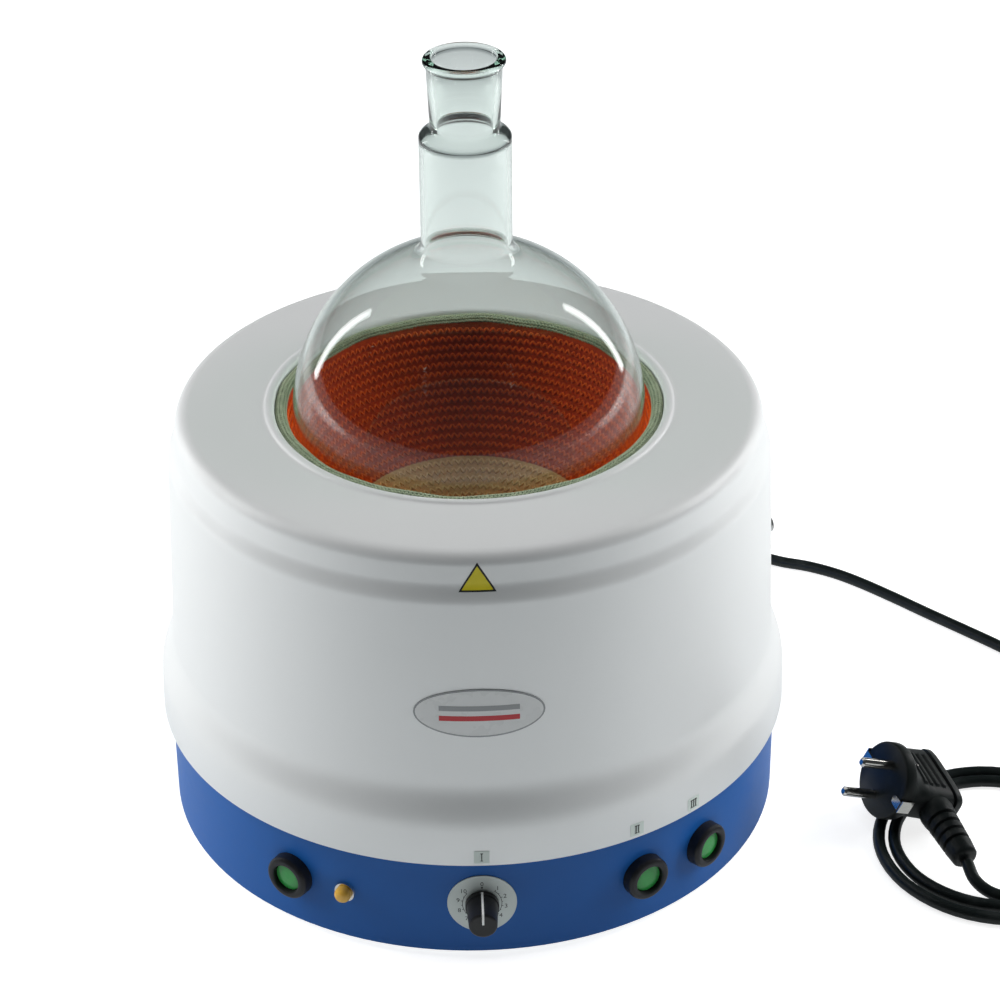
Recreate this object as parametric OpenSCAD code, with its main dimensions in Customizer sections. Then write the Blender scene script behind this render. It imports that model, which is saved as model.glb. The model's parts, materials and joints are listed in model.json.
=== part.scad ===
// Electric heating mantle with a round-bottom flask standing in its heated bowl.
// Frame: +Z up, front of the mantle towards -Y, origin on the mantle's axis at
// bench level. Panel parts are placed by azimuth, measured from the front (-Y)
// towards +X, and by height.

/* [Base] */
// Outer radius of the blue base ring
base_r = 149; // [140:0.5:149.4]
// Wall thickness of the base ring
base_wall = 1.8; // [1.5:0.1:2]
// Height of the rubber feet
foot_h = 4; // [3:0.5:4]
// Top of the base ring, up inside the housing skirt
base_top = 68; // [64:1:70]
// Number of rubber feet and of foot screws
foot_count = 4; // [3:1:6]
// Number of screws that hold the bottom plate
plate_screw_count = 6; // [3:1:8]
// Radial vent slots in the bottom plate
vent_count = 24; // [12:1:36]

/* [Housing] */
// Radius of the skirt at its lower edge
skirt_r = 153; // [152:0.5:160]
// Height of the skirt's lower edge
skirt_z = 56.5; // [54:0.5:60]
// Height of the flat top plate
plate_z = 213.5; // [212:0.5:215]
// Clear radius of the opening in the top plate
opening_r = 91.5; // [90:0.5:95]
// Sheet thickness of the housing
sheet = 1.5; // [1:0.1:2]

/* [Bowl] */
// Inner radius of the heated fabric bowl
bowl_r = 84.8; // [84:0.1:86]
// Height of the bowl's centre
bowl_z = 211; // [209:0.5:213]
// Thickness of the bowl fabric
fabric_t = 3; // [2:0.1:3]
// Radius where the pale centre zone of the bowl begins
centre_zone_r = 57; // [30:1:62]
// Thickness of the insulation behind the bowl
insulation_t = 12; // [8:1:12]

/* [Flask] */
// Outer radius of the flask's bulb
flask_r = 83; // [80:0.5:83.2]
// Height of the bulb's centre
flask_z = 209.5; // [209.5:0.1:211]
// Outer radius of the neck
neck_r = 21; // [18:0.5:24]
// Height of the flask's rim
rim_z = 386; // [370:1:400]
// Thickness of the glass
glass_t = 2; // [1.5:0.1:2.5]

/* [Panel] */
// Height of the switches and of the pilot lamp
panel_z = 30; // [26:1:34]
// Height of the dial's centre
dial_z = 32; // [28:1:36]
// Radius of the dial plate
dial_r = 16; // [14:0.5:18]
// Azimuth of the first switch
switch_az_1 = -36; // [-45:1:-32]
// Azimuth of the second switch
switch_az_2 = 30.5; // [25:0.5:34]
// Azimuth of the third switch
switch_az_3 = 45; // [43:0.5:60]
// Azimuth of the pilot lamp
pilot_az = -25; // [-26:1:-15]
// Inward travel of a switch button
button_travel = 2.5; // [1:0.5:3]

/* [Rod clamp] */
// Azimuth of the clamp for a stand rod
clamp_az = 114; // [100:1:130]
// Radius of the rod's bore
rod_bore_r = 6.1; // [5:0.1:6.2]
// Height of the clamp screw
clamp_z = 99; // [98:1:104]

/* [Mains lead] */
// Azimuth of the cable gland
gland_az = 150; // [145:1:155]
// Diameter of the mains lead
cord_d = 6; // [5:0.5:7]

/* [Hidden] */
$fn = 96;
eps = 0.01;
cord_r = cord_d / 2;
base_in = base_r - base_wall;
plate_t = 1.5;
bulkhead_t = 1.2;
cup_r = bowl_r + fabric_t + 2.4 + insulation_t + 0.3;
cup_t = 1;
post_orbit = 88;
post_r = 4;
ring_z = 144;
bracket_top = 102;
gasket_gap = 0.2;
switch_az = [switch_az_1, switch_az_2, switch_az_3];
badge_gap = 0.03;
badge_t = 0.5;
bezel_r = 11;
bezel_h = 6;
barrel_r = 9.5;
button_r = 7;
seat = 0.45;
clamp_face = 163;
rod_orbit = 153.8;
coil_centre = [253.5, -77];
coil_in = 46.5;
coil_out = 62.5;
coil_h = 6.6;
plug_face = [198, -56, 27];
plug_turn = [67, 9, -72];
pin_pitch = 19;

// The lead's route on the bench, from the strain relief to the coil.
lead_route = [
  [96.5, 167.1, 30], [102, 176.6, 29.6], [109, 185.5, 27.5], [120, 192, 22.5],
  [134, 194.5, 16], [149, 193, 9], [163, 188.5, 4.8], [177, 183, 3.2],
  [191, 178, 3], [205, 170, 3], [218, 159.5, 3], [234, 144, 3], [250, 127.5, 3],
  [267, 110.5, 3], [285, 92, 3], [304, 70, 3], [323, 44, 3], [337, 15, 3],
  [345, -17, 3], [345, -51, 3], [335, -83, 3], [316, -109, 3], [291, -129, 3]
];

// The last stretch, from inside the coil up into the plug's strain relief.
plug_route = [
  [297, -92, 3], [291, -103.5, 3], [281, -113, 3], [268, -118.6, 3],
  [254, -120, 3], [243, -116.6, 3.6], [236, -109, 5.6], [233.4, -99.4, 9.1]
];

// ---- Shared shapes ----

function arc(c, r, a0, a1, n) =
  [for (i = [0:n]) let (a = a0 + (a1 - a0) * i / n) [c[0] + r * cos(a), c[1] + r * sin(a)]];

function s_bend(p0, p1, n) =
  [for (i = [0:n]) let (t = i / n)
    [p0[0] + (p1[0] - p0[0]) * (1 - cos(180 * t)) / 2, p0[1] + (p1[1] - p0[1]) * t]];

function unit(v) = v / norm(v);

// A path moved sideways by d, to its right as it is walked.
function beside(path, d) =
  [for (i = [0:len(path) - 1])
    let (a = path[max(i - 1, 0)], b = path[min(i + 1, len(path) - 1)], t = unit(b - a))
    path[i] + d * [t[1], -t[0]]];

function reversed(list) = [for (i = [len(list) - 1:-1:0]) list[i]];

// Housing outline, walked from the rolled lip out over the plate and down.
housing_path = concat(
  [[opening_r, plate_z - 10]],
  arc([opening_r + 2.75, plate_z - 1.5], 2.75, 180, 33, 8),
  arc([131.5, plate_z - 7], 7, 90, 0, 8),
  s_bend([139.3, plate_z - 13], [142.6, plate_z - 24], 8),
  s_bend([146, 98], [skirt_r - 0.5, 74], 10),
  [[skirt_r, skirt_z]]
);

module lathe(points) {
  rotate_extrude($fn = 180) polygon(points);
}

module tube(r_out, r_in, z0, z1) {
  translate([0, 0, z0]) difference() {
    cylinder(r = r_out, h = z1 - z0);
    translate([0, 0, -1]) cylinder(r = r_in, h = z1 - z0 + 2);
  }
}

module disc(r, z0, z1) {
  translate([0, 0, z0]) cylinder(r = r, h = z1 - z0);
}

// Places children on the base ring's wall: +Z points out, +Y points up.
module on_panel(az, z) {
  rotate([0, 0, az]) translate([0, -base_r, z]) rotate([90, 0, 0]) children();
}

// Repeats children about the axis.
module around(count, first = 0) {
  for (i = [0:count - 1]) rotate([0, 0, first + 360 * i / count]) children();
}

// Half of a spherical shell below z, in the bowl's own frame.
module bowl_shell(r_in, r_out, z_low, z_high) {
  translate([0, 0, bowl_z]) rotate_extrude($fn = 180) intersection() {
    difference() {
      circle(r = r_out, $fn = 180);
      circle(r = r_in, $fn = 180);
    }
    translate([0, z_low]) square([r_out + 1, z_high - z_low]);
  }
}

module pan_screw(head_r, head_h, shank_r, length) {
  cylinder(r = head_r, h = head_h);
  translate([0, 0, -length]) cylinder(r = shank_r, h = length + eps);
}

// A round lead swept along its route as one closed solid.
module swept(route, r, sides = 10) {
  last = len(route) - 1;
  rings = [for (i = [0:last])
    let (t = unit(route[min(i + 1, last)] - route[max(i - 1, 0)]),
         side = unit(cross(t, [0, 0, 1])),
         up = cross(side, t))
    for (k = [0:sides - 1])
      route[i] + r * (cos(360 * k / sides) * side + sin(360 * k / sides) * up)];
  walls = [for (i = [0:last - 1], k = [0:sides - 1]) let (n = (k + 1) % sides)
    [i * sides + k, i * sides + n, (i + 1) * sides + n, (i + 1) * sides + k]];
  caps = [[for (k = [sides - 1:-1:0]) k], [for (k = [0:sides - 1]) last * sides + k]];
  polyhedron(points = rings, faces = concat(walls, caps));
}

// ---- Base ----

module base_ring() {
  color([0.09, 0.27, 0.52]) difference() {
    union() {
      tube(base_r, base_in, foot_h, base_top);
      tube(base_in + eps, 137, foot_h + 2, foot_h + 3.6);
      tube(base_in + eps, 134, base_top - 1.6, base_top);
    }
    for (i = [0:2]) on_panel(switch_az[i], panel_z) {
      translate([0, 0, -8]) cylinder(r = barrel_r + 0.1, h = 12);
      translate([0, 0, -seat]) cylinder(r = bezel_r + 0.1, h = 3);
    }
    on_panel(pilot_az, panel_z) translate([0, 0, -8]) cylinder(r = 4.1, h = 12);
    on_panel(0, dial_z) translate([0, 0, -8]) cylinder(r = 3.6, h = 12);
    on_panel(gland_az, panel_z) {
      translate([0, 0, -8]) cylinder(r = 6.1, h = 12);
      translate([0, 0, -seat]) cylinder(r = 9.4, h = 3);
    }
    around(plate_screw_count, 30) translate([142, 0, foot_h]) cylinder(r = 1.55, h = 6);
  }
}

module base_plate() {
  color([0.72, 0.73, 0.74]) difference() {
    disc(base_in - 0.3, foot_h + 0.4, foot_h + 2);
    around(vent_count) for (r = [36, 68]) translate([r, -2, 0]) {
      cube([22, 4, 20]);
      translate([0, 2, 0]) cylinder(r = 2, h = 20, $fn = 32);
      translate([22, 2, 0]) cylinder(r = 2, h = 20, $fn = 32);
    }
    around(foot_count, 45) translate([122, 0, 0]) cylinder(r = 2.1, h = 20);
    around(plate_screw_count, 30) translate([142, 0, 0]) cylinder(r = 1.6, h = 20);
  }
}

module rubber_feet() {
  color([0.08, 0.08, 0.09]) around(foot_count, 45) translate([122, 0, 0]) difference() {
    cylinder(r1 = 8, r2 = 10, h = foot_h + 0.4);
    translate([0, 0, -1]) cylinder(r = 4.2, h = 3);
    translate([0, 0, -1]) cylinder(r = 2.1, h = 8);
  }
}

module foot_screws() {
  color([0.75, 0.76, 0.78]) around(foot_count, 45) translate([122, 0, 2]) {
    rotate([180, 0, 0]) pan_screw(3.8, 1.4, 2, 8.4);
    translate([0, 0, foot_h]) difference() {
      cylinder(r = 3.9, h = 3, $fn = 6);
      translate([0, 0, -1]) cylinder(r = 1.9, h = 5);
    }
  }
}

module plate_screws() {
  color([0.75, 0.76, 0.78]) around(plate_screw_count, 30) translate([142, 0, foot_h + 0.4])
    rotate([180, 0, 0]) pan_screw(2.8, 1.8, 1.5, 6);
}

module bulkhead() {
  color([0.78, 0.79, 0.8]) difference() {
    disc(146.5, base_top, base_top + bulkhead_t);
    translate([0, 0, base_top - 1]) cylinder(r = 9, h = 4);
    around(4, 45) translate([post_orbit, 0, base_top - 1]) cylinder(r = 2.1, h = 4);
    around(12, 15) translate([118, 0, base_top - 1]) cylinder(r = 6, h = 4);
  }
}

module board_spacers() {
  color([0.85, 0.85, 0.82]) for (x = [-36, 36], y = [-92, -44])
    translate([x, y, foot_h + 2]) cylinder(r = 3, h = 8, $fn = 6);
}

module control_board() {
  color([0.1, 0.35, 0.2]) difference() {
    union() {
      translate([-42, -98, foot_h + 10]) cube([84, 60, 1.6]);
      for (x = [-30, -18]) translate([x, -50, foot_h + 11.6]) cylinder(r = 5, h = 14);
      translate([14, -94, foot_h + 11.6]) cube([22, 16, 14]);
    }
    for (x = [-36, 36], y = [-92, -44]) translate([x, y, 0]) cylinder(r = 1.6, h = 20);
  }
}

module heat_sink() {
  color([0.7, 0.71, 0.73]) translate([-4, -72, foot_h + 11.6]) {
    cube([30, 24, 3]);
    for (i = [0:5]) translate([i * 5.6, 0, 3]) cube([2, 24, 16]);
  }
}

module terminal_block() {
  color([0.9, 0.88, 0.8]) translate([34, 72, foot_h + 2]) difference() {
    cube([46, 16, 15]);
    for (i = [0:4]) translate([5 + i * 9, 8, 6]) cylinder(r = 2.4, h = 12, $fn = 48);
    for (i = [0:4]) translate([5 + i * 9, -1, 4.5]) rotate([-90, 0, 0])
      cylinder(r = 1.6, h = 18, $fn = 48);
  }
}

// ---- Housing ----

module housing_solid(grow = 0) {
  lathe(concat([[0, 40], [0, plate_z]], beside(housing_path, -grow), [[skirt_r, 40]]));
}

module housing_shell() {
  color([0.86, 0.87, 0.87]) difference() {
    lathe(concat(housing_path, reversed(beside(housing_path, sheet))));
    clamp_bolt_places() translate([0, 0, -20]) cylinder(r = 2.1, h = 30);
  }
}

// Welded angles that join the housing to the base ring's top flange.
module housing_brackets() {
  color([0.78, 0.79, 0.8]) around(3, 90) intersection() {
    difference() {
      union() {
        tube(144.2, 142.6, base_top + bulkhead_t, bracket_top);
        tube(144.2, 130, base_top + bulkhead_t, base_top + bulkhead_t + 1.6);
      }
      translate([137, 0, 60]) cylinder(r = 2.2, h = 20);
    }
    translate([120, -9, 60]) cube([30, 18, 60]);
  }
}

module rim_gasket() {
  color([0.93, 0.93, 0.9]) tube(112, cup_r + 2, 206.1, plate_z - sheet - gasket_gap);
}

// ---- Heated bowl ----

module fabric_collar() {
  color([0.6, 0.72, 0.66]) lathe([
    [opening_r - 0.2, 204], [opening_r - 0.2, 212.6], [opening_r - 1, 213.3],
    [86.8, 213.3], [86.1, 212.7], [86.1, 211.1], [88, 211.1], [88, 204]
  ]);
}

zone_drop = -sqrt(pow(bowl_r, 2) - pow(centre_zone_r, 2));

module bowl_fabric() {
  color([0.66, 0.27, 0.1]) bowl_shell(bowl_r, bowl_r + fabric_t, zone_drop, 0);
}

module bowl_centre_fabric() {
  color([0.78, 0.58, 0.36]) bowl_shell(bowl_r, bowl_r + fabric_t, -bowl_r - fabric_t - 1, zone_drop);
}

// Heating conductor laid in rings behind the fabric, by angle from the bottom.
module heater_rings(first, last) {
  r = bowl_r + fabric_t + 1.1;
  color([0.55, 0.5, 0.48]) for (a = [first:6:last])
    translate([0, 0, bowl_z - r * cos(a)]) rotate_extrude($fn = 96)
      translate([r * sin(a), 0]) circle(r = 0.9, $fn = 24);
}

module heater_zone_1() { heater_rings(6, 24); }
module heater_zone_2() { heater_rings(30, 54); }
module heater_zone_3() { heater_rings(60, 78); }

module insulation_blanket() {
  color([0.92, 0.9, 0.82]) difference() {
    bowl_shell(bowl_r + fabric_t + 2.4, cup_r - 0.3, -cup_r, 202.5 - bowl_z);
    cylinder(r = 7, h = bowl_z);
  }
}

module bowl_cup() {
  color([0.8, 0.81, 0.82]) difference() {
    union() {
      bowl_shell(cup_r, cup_r + cup_t, -cup_r - cup_t, 205 - bowl_z);
      tube(114, cup_r - 0.1, 205, 206);
    }
    cylinder(r = 7, h = bowl_z);
  }
}

module support_ring() {
  color([0.8, 0.81, 0.82]) difference() {
    tube(95, 60, ring_z, ring_z + 2.5);
    translate([0, 0, bowl_z]) sphere(r = cup_r + cup_t + 0.02, $fn = 180);
    around(4, 45) translate([post_orbit, 0, ring_z - 1]) cylinder(r = 2.1, h = 5);
  }
}

module support_posts() {
  color([0.78, 0.79, 0.8]) around(4, 45) translate([post_orbit, 0, base_top + bulkhead_t])
    difference() {
      cylinder(r = post_r, h = ring_z - base_top - bulkhead_t);
      translate([0, 0, -1]) cylinder(r = 2.02, h = 12);
      translate([0, 0, ring_z - base_top - bulkhead_t - 11]) cylinder(r = 2.02, h = 12);
    }
}

module post_screws() {
  color([0.75, 0.76, 0.78]) around(4, 45) translate([post_orbit, 0, 0]) {
    translate([0, 0, ring_z + 2.5]) pan_screw(3.6, 2.4, 2, 11);
    translate([0, 0, base_top]) rotate([180, 0, 0]) pan_screw(3.6, 2.4, 2, 10);
  }
}

module lead_sleeve() {
  color([0.9, 0.88, 0.78]) tube(6.5, 4.5, 32, bowl_z - bowl_r - fabric_t - 2.6);
}

// ---- Front panel ----

module switch_bezel(i) {
  color([0.05, 0.05, 0.06]) on_panel(switch_az[i], panel_z) rotate_extrude() polygon(concat(
    [[button_r + 0.1, -18], [barrel_r, -18], [barrel_r, -seat], [bezel_r, -seat]],
    arc([bezel_r - 2.2, bezel_h - 2.2], 2.2, 0, 90, 6),
    arc([button_r + 1.1, bezel_h - 1], 1, 90, 180, 4)
  ));
}

module switch_button(i) {
  color([0.05, 0.38, 0.08]) on_panel(switch_az[i], panel_z) rotate_extrude() polygon(concat(
    [[0, -10], [button_r, -10]],
    arc([button_r - 0.8, 3], 0.8, 0, 60, 3),
    [[4, 4.1], [0, 4.3]]
  ));
}

module switch_bodies() {
  color([0.12, 0.12, 0.13]) for (i = [0:2]) on_panel(switch_az[i], panel_z) {
    translate([0, 0, -32]) cylinder(r = 9, h = 14);
    for (x = [-4.5, 0, 4.5]) translate([x - 0.4, -2.4, -40]) cube([0.8, 4.8, 8.1]);
  }
}

module switch_nuts() {
  color([0.1, 0.1, 0.11]) for (i = [0:2]) on_panel(switch_az[i], panel_z)
    translate([0, 0, -6.4]) difference() {
      cylinder(r = 12.4, h = 3.8, $fn = 6);
      translate([0, 0, -1]) cylinder(r = barrel_r + 0.02, h = 6);
    }
}

module switch_bezel_1() { switch_bezel(0); }
module switch_bezel_2() { switch_bezel(1); }
module switch_bezel_3() { switch_bezel(2); }
module switch_button_1() { switch_button(0); }
module switch_button_2() { switch_button(1); }
module switch_button_3() { switch_button(2); }

module pilot_bezel() {
  color([0.8, 0.8, 0.78]) on_panel(pilot_az, panel_z) difference() {
    union() {
      translate([0, 0, -12]) cylinder(r = 4, h = 12.1);
      translate([0, 0, 0]) cylinder(r1 = 5.2, r2 = 4.9, h = 1.2);
    }
    translate([0, 0, -13]) cylinder(r = 3.4, h = 16);
  }
}

module pilot_lens() {
  color([0.85, 0.5, 0.08]) on_panel(pilot_az, panel_z) rotate_extrude() polygon(concat(
    [[0, -6], [3.35, -6], [3.35, 1.3], [3.9, 1.3], [3.9, 3]],
    arc([0.9, 3], 3, 0, 90, 8), [[0, 6]]
  ));
}

module pilot_body() {
  color([0.85, 0.85, 0.82]) on_panel(pilot_az, panel_z) {
    translate([0, 0, -26]) cylinder(r = 4.4, h = 14);
    for (x = [-2, 2]) translate([x - 0.3, -1.2, -31]) cube([0.6, 2.4, 5.1]);
  }
}

module dial_plate() {
  color([0.78, 0.81, 0.8]) intersection() {
    tube(base_r + 0.6, base_r, 0, 80);
    on_panel(0, dial_z) translate([0, 0, -5]) difference() {
      cylinder(r = dial_r, h = 10);
      translate([0, 0, -1]) cylinder(r = 3.7, h = 12);
    }
  }
}

module knob() {
  color([0.05, 0.05, 0.06]) on_panel(0, dial_z) difference() {
    rotate_extrude() polygon(concat(
      [[0, 1.2], [7.8, 1.2], [7.8, 3.6], [7.3, 4.2]],
      arc([5.4, 16.1], 1.2, 10, 90, 4), [[0, 17.3]]
    ));
    for (a = [0:24:336]) rotate([0, 0, a + 12]) translate([8.1, 0, 4.4])
      cylinder(r = 0.9, h = 20, $fn = 24);
    translate([0, 0, 0]) cylinder(r = 6.1, h = 4.2);
    translate([0, 0, 3]) cylinder(r = 3, h = 9.5);
    translate([-0.5, 1, 17]) cube([1, 7, 1]);
  }
}

module knob_pointer() {
  color([0.95, 0.95, 0.95]) on_panel(0, dial_z) translate([-0.5, 1, 17]) cube([1, 4.4, 0.35]);
}

module pot_shaft() {
  color([0.75, 0.76, 0.78]) on_panel(0, dial_z) translate([0, 0, -9]) cylinder(r = 3, h = 21.3);
}

module pot_body() {
  color([0.6, 0.6, 0.62]) on_panel(0, dial_z) difference() {
    union() {
      translate([0, 0, -16]) cylinder(r = 8.5, h = 13.2);
      translate([0, 0, -3]) cylinder(r = 3.5, h = 6);
      for (x = [-5, 0, 5]) translate([x - 0.8, -13, -10]) cube([1.6, 6, 0.6]);
    }
    translate([0, 0, -9.5]) cylinder(r = 3.06, h = 15);
  }
}

module pot_nut() {
  color([0.8, 0.8, 0.78]) on_panel(0, dial_z) difference() {
    translate([0, 0, 0.65]) cylinder(r = 5.7, h = 2, $fn = 6);
    cylinder(r = 3.52, h = 4);
  }
}

// ---- Labels and badge, thin plates that follow the wall ----

module skirt_label(az) {
  intersection() {
    lathe([[skirt_r, 56], [skirt_r + 0.15, 56], [skirt_r - 0.15, 70], [skirt_r - 0.3, 70]]);
    rotate([0, 0, az]) translate([-3.5, -170, 58]) cube([7, 40, 6.6]);
  }
}

module zone_labels() {
  color([0.85, 0.88, 0.86]) for (az = [0, 28, 40.5]) skirt_label(az);
}

module badge() {
  color([0.88, 0.88, 0.87]) intersection() {
    lathe([[wall_r(110) + badge_gap, 110], [wall_r(110) + badge_t, 110],
      [wall_r(160) + badge_t, 160], [wall_r(160) + badge_gap, 160]]);
    translate([0, -100, 135]) rotate([90, 0, 0]) oval(29.5, 12.5, 80);
  }
}

// Radius of the housing's tapered wall at height z.
function wall_r(z) = 142.6 + (146 - 142.6) * (plate_z - 24 - z) / (plate_z - 24 - 98);

module oval(half_w, half_h, depth) {
  linear_extrude(height = depth)
    polygon([for (a = [0:7.5:352.5]) [half_w * cos(a), half_h * sin(a)]]);
}

// ---- Clamp for a stand rod ----

// The clamp's frame: +Z points out from the axis, +Y up, origin on the axis.
module at_clamp() {
  rotate([0, 0, clamp_az]) translate([0, 0, clamp_z]) rotate([90, 0, 0]) children();
}

module clamp_bolt_places() {
  at_clamp() for (x = [-13.5, 13.5]) translate([x, 0, 150]) children();
}

module rod_clamp() {
  color([0.86, 0.87, 0.87]) difference() {
    at_clamp() {
      translate([-10, -13, 138]) cube([20, 28, clamp_face - 138]);
      translate([-18, -9, 138]) cube([36, 20, 12]);
    }
    housing_solid(0.1);
    at_clamp() {
      translate([0, -8, rod_orbit]) rotate([-90, 0, 0]) cylinder(r = rod_bore_r, h = 40);
      translate([0, 0, rod_orbit]) cylinder(r = 2.55, h = 20);
      for (x = [-13.5, 13.5]) translate([x, 0, 130]) cylinder(r = 2.05, h = 30);
    }
  }
}

module clamp_bolts() {
  color([0.75, 0.76, 0.78]) clamp_bolt_places() {
    pan_screw(3.5, 2.4, 2, 13);
    translate([0, 0, -9.85]) difference() {
      cylinder(r = 3.9, h = 3, $fn = 6);
      translate([0, 0, -1]) cylinder(r = 1.9, h = 5);
    }
  }
}

module clamp_pad() {
  color([0.75, 0.6, 0.3]) at_clamp() translate([0, 0, 160.4]) cylinder(r = 2.2, h = 1);
}

module clamp_screw() {
  color([0.75, 0.76, 0.78]) at_clamp() difference() {
    union() {
      translate([0, 0, 161.4]) cylinder(r = 2.5, h = 4.4);
      translate([0, 0, 165.6]) cylinder(r = 4.25, h = 2.6);
      translate([0, 0, 168.2]) cylinder(r1 = 4.25, r2 = 3.7, h = 0.6);
    }
    translate([0, 0, 166.4]) cylinder(r = 2, h = 4, $fn = 6);
  }
}

// ---- Mains lead ----

module cable_gland() {
  color([0.08, 0.08, 0.09]) on_panel(gland_az, panel_z) difference() {
    union() {
      translate([0, 0, -12]) cylinder(r = 6, h = 12);
      translate([0, 0, -seat]) cylinder(r = 9.2, h = 5.5, $fn = 6);
      translate([0, 0, 5]) cylinder(r1 = 8.2, r2 = 6.6, h = 9);
    }
    translate([0, 0, -13]) cylinder(r = cord_r, h = 40);
  }
}

module gland_nut() {
  color([0.1, 0.1, 0.11]) on_panel(gland_az, panel_z) translate([0, 0, -6]) difference() {
    cylinder(r = 9.2, h = 3.6, $fn = 6);
    translate([0, 0, -1]) cylinder(r = 6.02, h = 6);
  }
}

module strain_relief() {
  color([0.06, 0.06, 0.07]) on_panel(gland_az, panel_z) translate([0, 0, 14])
    cylinder(r1 = 5.4, r2 = 3.8, h = 30);
}

module lead_tube() {
  color([0.06, 0.06, 0.07]) swept(lead_route, cord_r);
}

module lead_coil() {
  color([0.06, 0.06, 0.07]) translate([coil_centre[0], coil_centre[1], 0])
    rotate_extrude() translate([coil_in, 0]) square([coil_out - coil_in, coil_h]);
}

module plug_lead() {
  color([0.06, 0.06, 0.07]) swept(plug_route, cord_r);
}

// The plug's frame: +Z along the pins, +X towards the lead, origin on its face.
module at_plug() {
  translate(plug_face) rotate(plug_turn) children();
}

module plug_body() {
  color([0.07, 0.07, 0.08]) at_plug() difference() {
    union() {
      translate([0, 0, -6]) cylinder(r = 19, h = 6);
      hull() {
        translate([0, 0, -7]) cylinder(r = 17.5, h = 1.2, $fn = 32);
        translate([-19, -9.5, -21]) cube([38, 19, 4]);
      }
      translate([-20, -9, -35]) cube([40, 18, 15]);
      translate([18, 0, -22]) rotate([0, 90, 0]) cylinder(r = 8.3, h = 4);
    }
    for (x = [-1, 1]) translate([x * 19, 0, -3]) cube([2.2, 8, 8], center = true);
    for (y = [-0.5, 0.5]) translate([0, y * pin_pitch, -15]) cylinder(r = 2.4, h = 16);
  }
}

module plug_pins() {
  color([0.8, 0.8, 0.8]) at_plug() for (y = [-0.5, 0.5]) translate([0, y * pin_pitch, -15]) {
    cylinder(r = 2.4, h = 33);
    translate([0, 0, 33]) cylinder(r1 = 2.4, r2 = 1.4, h = 1);
  }
}

module plug_earth_clips() {
  color([0.8, 0.8, 0.8]) at_plug() for (x = [-1, 1]) translate([x * 19.35, 0, 0]) {
    translate([0, 0, -3.5]) cube([0.6, 7, 7], center = true);
  }
}

module plug_boot() {
  color([0.07, 0.07, 0.08]) at_plug() translate([22, 0, -22]) rotate([0, 90, 0])
    cylinder(r1 = 8, r2 = 6.2, h = 31);
}

// ---- Flask ----

bulb_in = flask_r - glass_t;
neck_in = neck_r - glass_t;
socket_z = rim_z - 33;
shoulder_r = 9;
shoulder_x = neck_r + shoulder_r;
shoulder_a = asin(shoulder_x / (flask_r + shoulder_r));
shoulder_z = flask_z + (flask_r + shoulder_r) * cos(shoulder_a);

// The blown bulb and the shoulder that it rises into the neck by.
module flask_bulb() {
  color([0.8, 0.9, 0.85, 0.35]) lathe(concat(
    arc([0, flask_z], flask_r, -90, 90 - shoulder_a, 48),
    arc([shoulder_x, shoulder_z], shoulder_r, 270 - shoulder_a, 180, 8),
    arc([shoulder_x, shoulder_z], shoulder_r + glass_t, 180, 270 - shoulder_a, 8),
    arc([0, flask_z], bulb_in, 90 - shoulder_a, -90, 48)
  ));
}

// The neck with its ground socket, sealed to the bulb's shoulder.
module flask_neck() {
  color([0.8, 0.9, 0.85, 0.35]) lathe(concat(
    [[neck_r, shoulder_z]],
    s_bend([neck_r, socket_z - 5], [15.9, socket_z + 1], 6),
    [[17.2, rim_z - 4]],
    arc([17, rim_z - 1.7], 1.7, -40, 90, 5),
    [[14.6, rim_z], [13, socket_z]],
    s_bend([13, socket_z - 1], [neck_in, socket_z - 8], 6),
    [[neck_in, shoulder_z]]
  ));
}

base_ring();
base_plate();
rubber_feet();
foot_screws();
plate_screws();
bulkhead();
housing_shell();
housing_brackets();
rim_gasket();
fabric_collar();
bowl_fabric();
bowl_centre_fabric();
heater_zone_1();
heater_zone_2();
heater_zone_3();
insulation_blanket();
bowl_cup();
support_ring();
support_posts();
post_screws();
lead_sleeve();
switch_bezel_1();
switch_bezel_2();
switch_bezel_3();
switch_button_1();
switch_button_2();
switch_button_3();
switch_bodies();
switch_nuts();
pilot_bezel();
pilot_lens();
pilot_body();
dial_plate();
knob();
knob_pointer();
pot_shaft();
pot_body();
pot_nut();
control_board();
board_spacers();
heat_sink();
terminal_block();
zone_labels();
badge();
rod_clamp();
clamp_bolts();
clamp_pad();
clamp_screw();
cable_gland();
gland_nut();
strain_relief();
lead_tube();
lead_coil();
plug_lead();
plug_body();
plug_pins();
plug_earth_clips();
plug_boot();
flask_bulb();
flask_neck();
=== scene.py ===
"""Looks of an electric heating mantle with a round-bottom flask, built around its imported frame."""

from __future__ import annotations

import json
import logging
import math
import sys
from dataclasses import dataclass
from enum import Enum
from typing import Callable, Iterable, Sequence

import bpy
import numpy as np
from mathutils import Matrix, Vector

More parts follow.
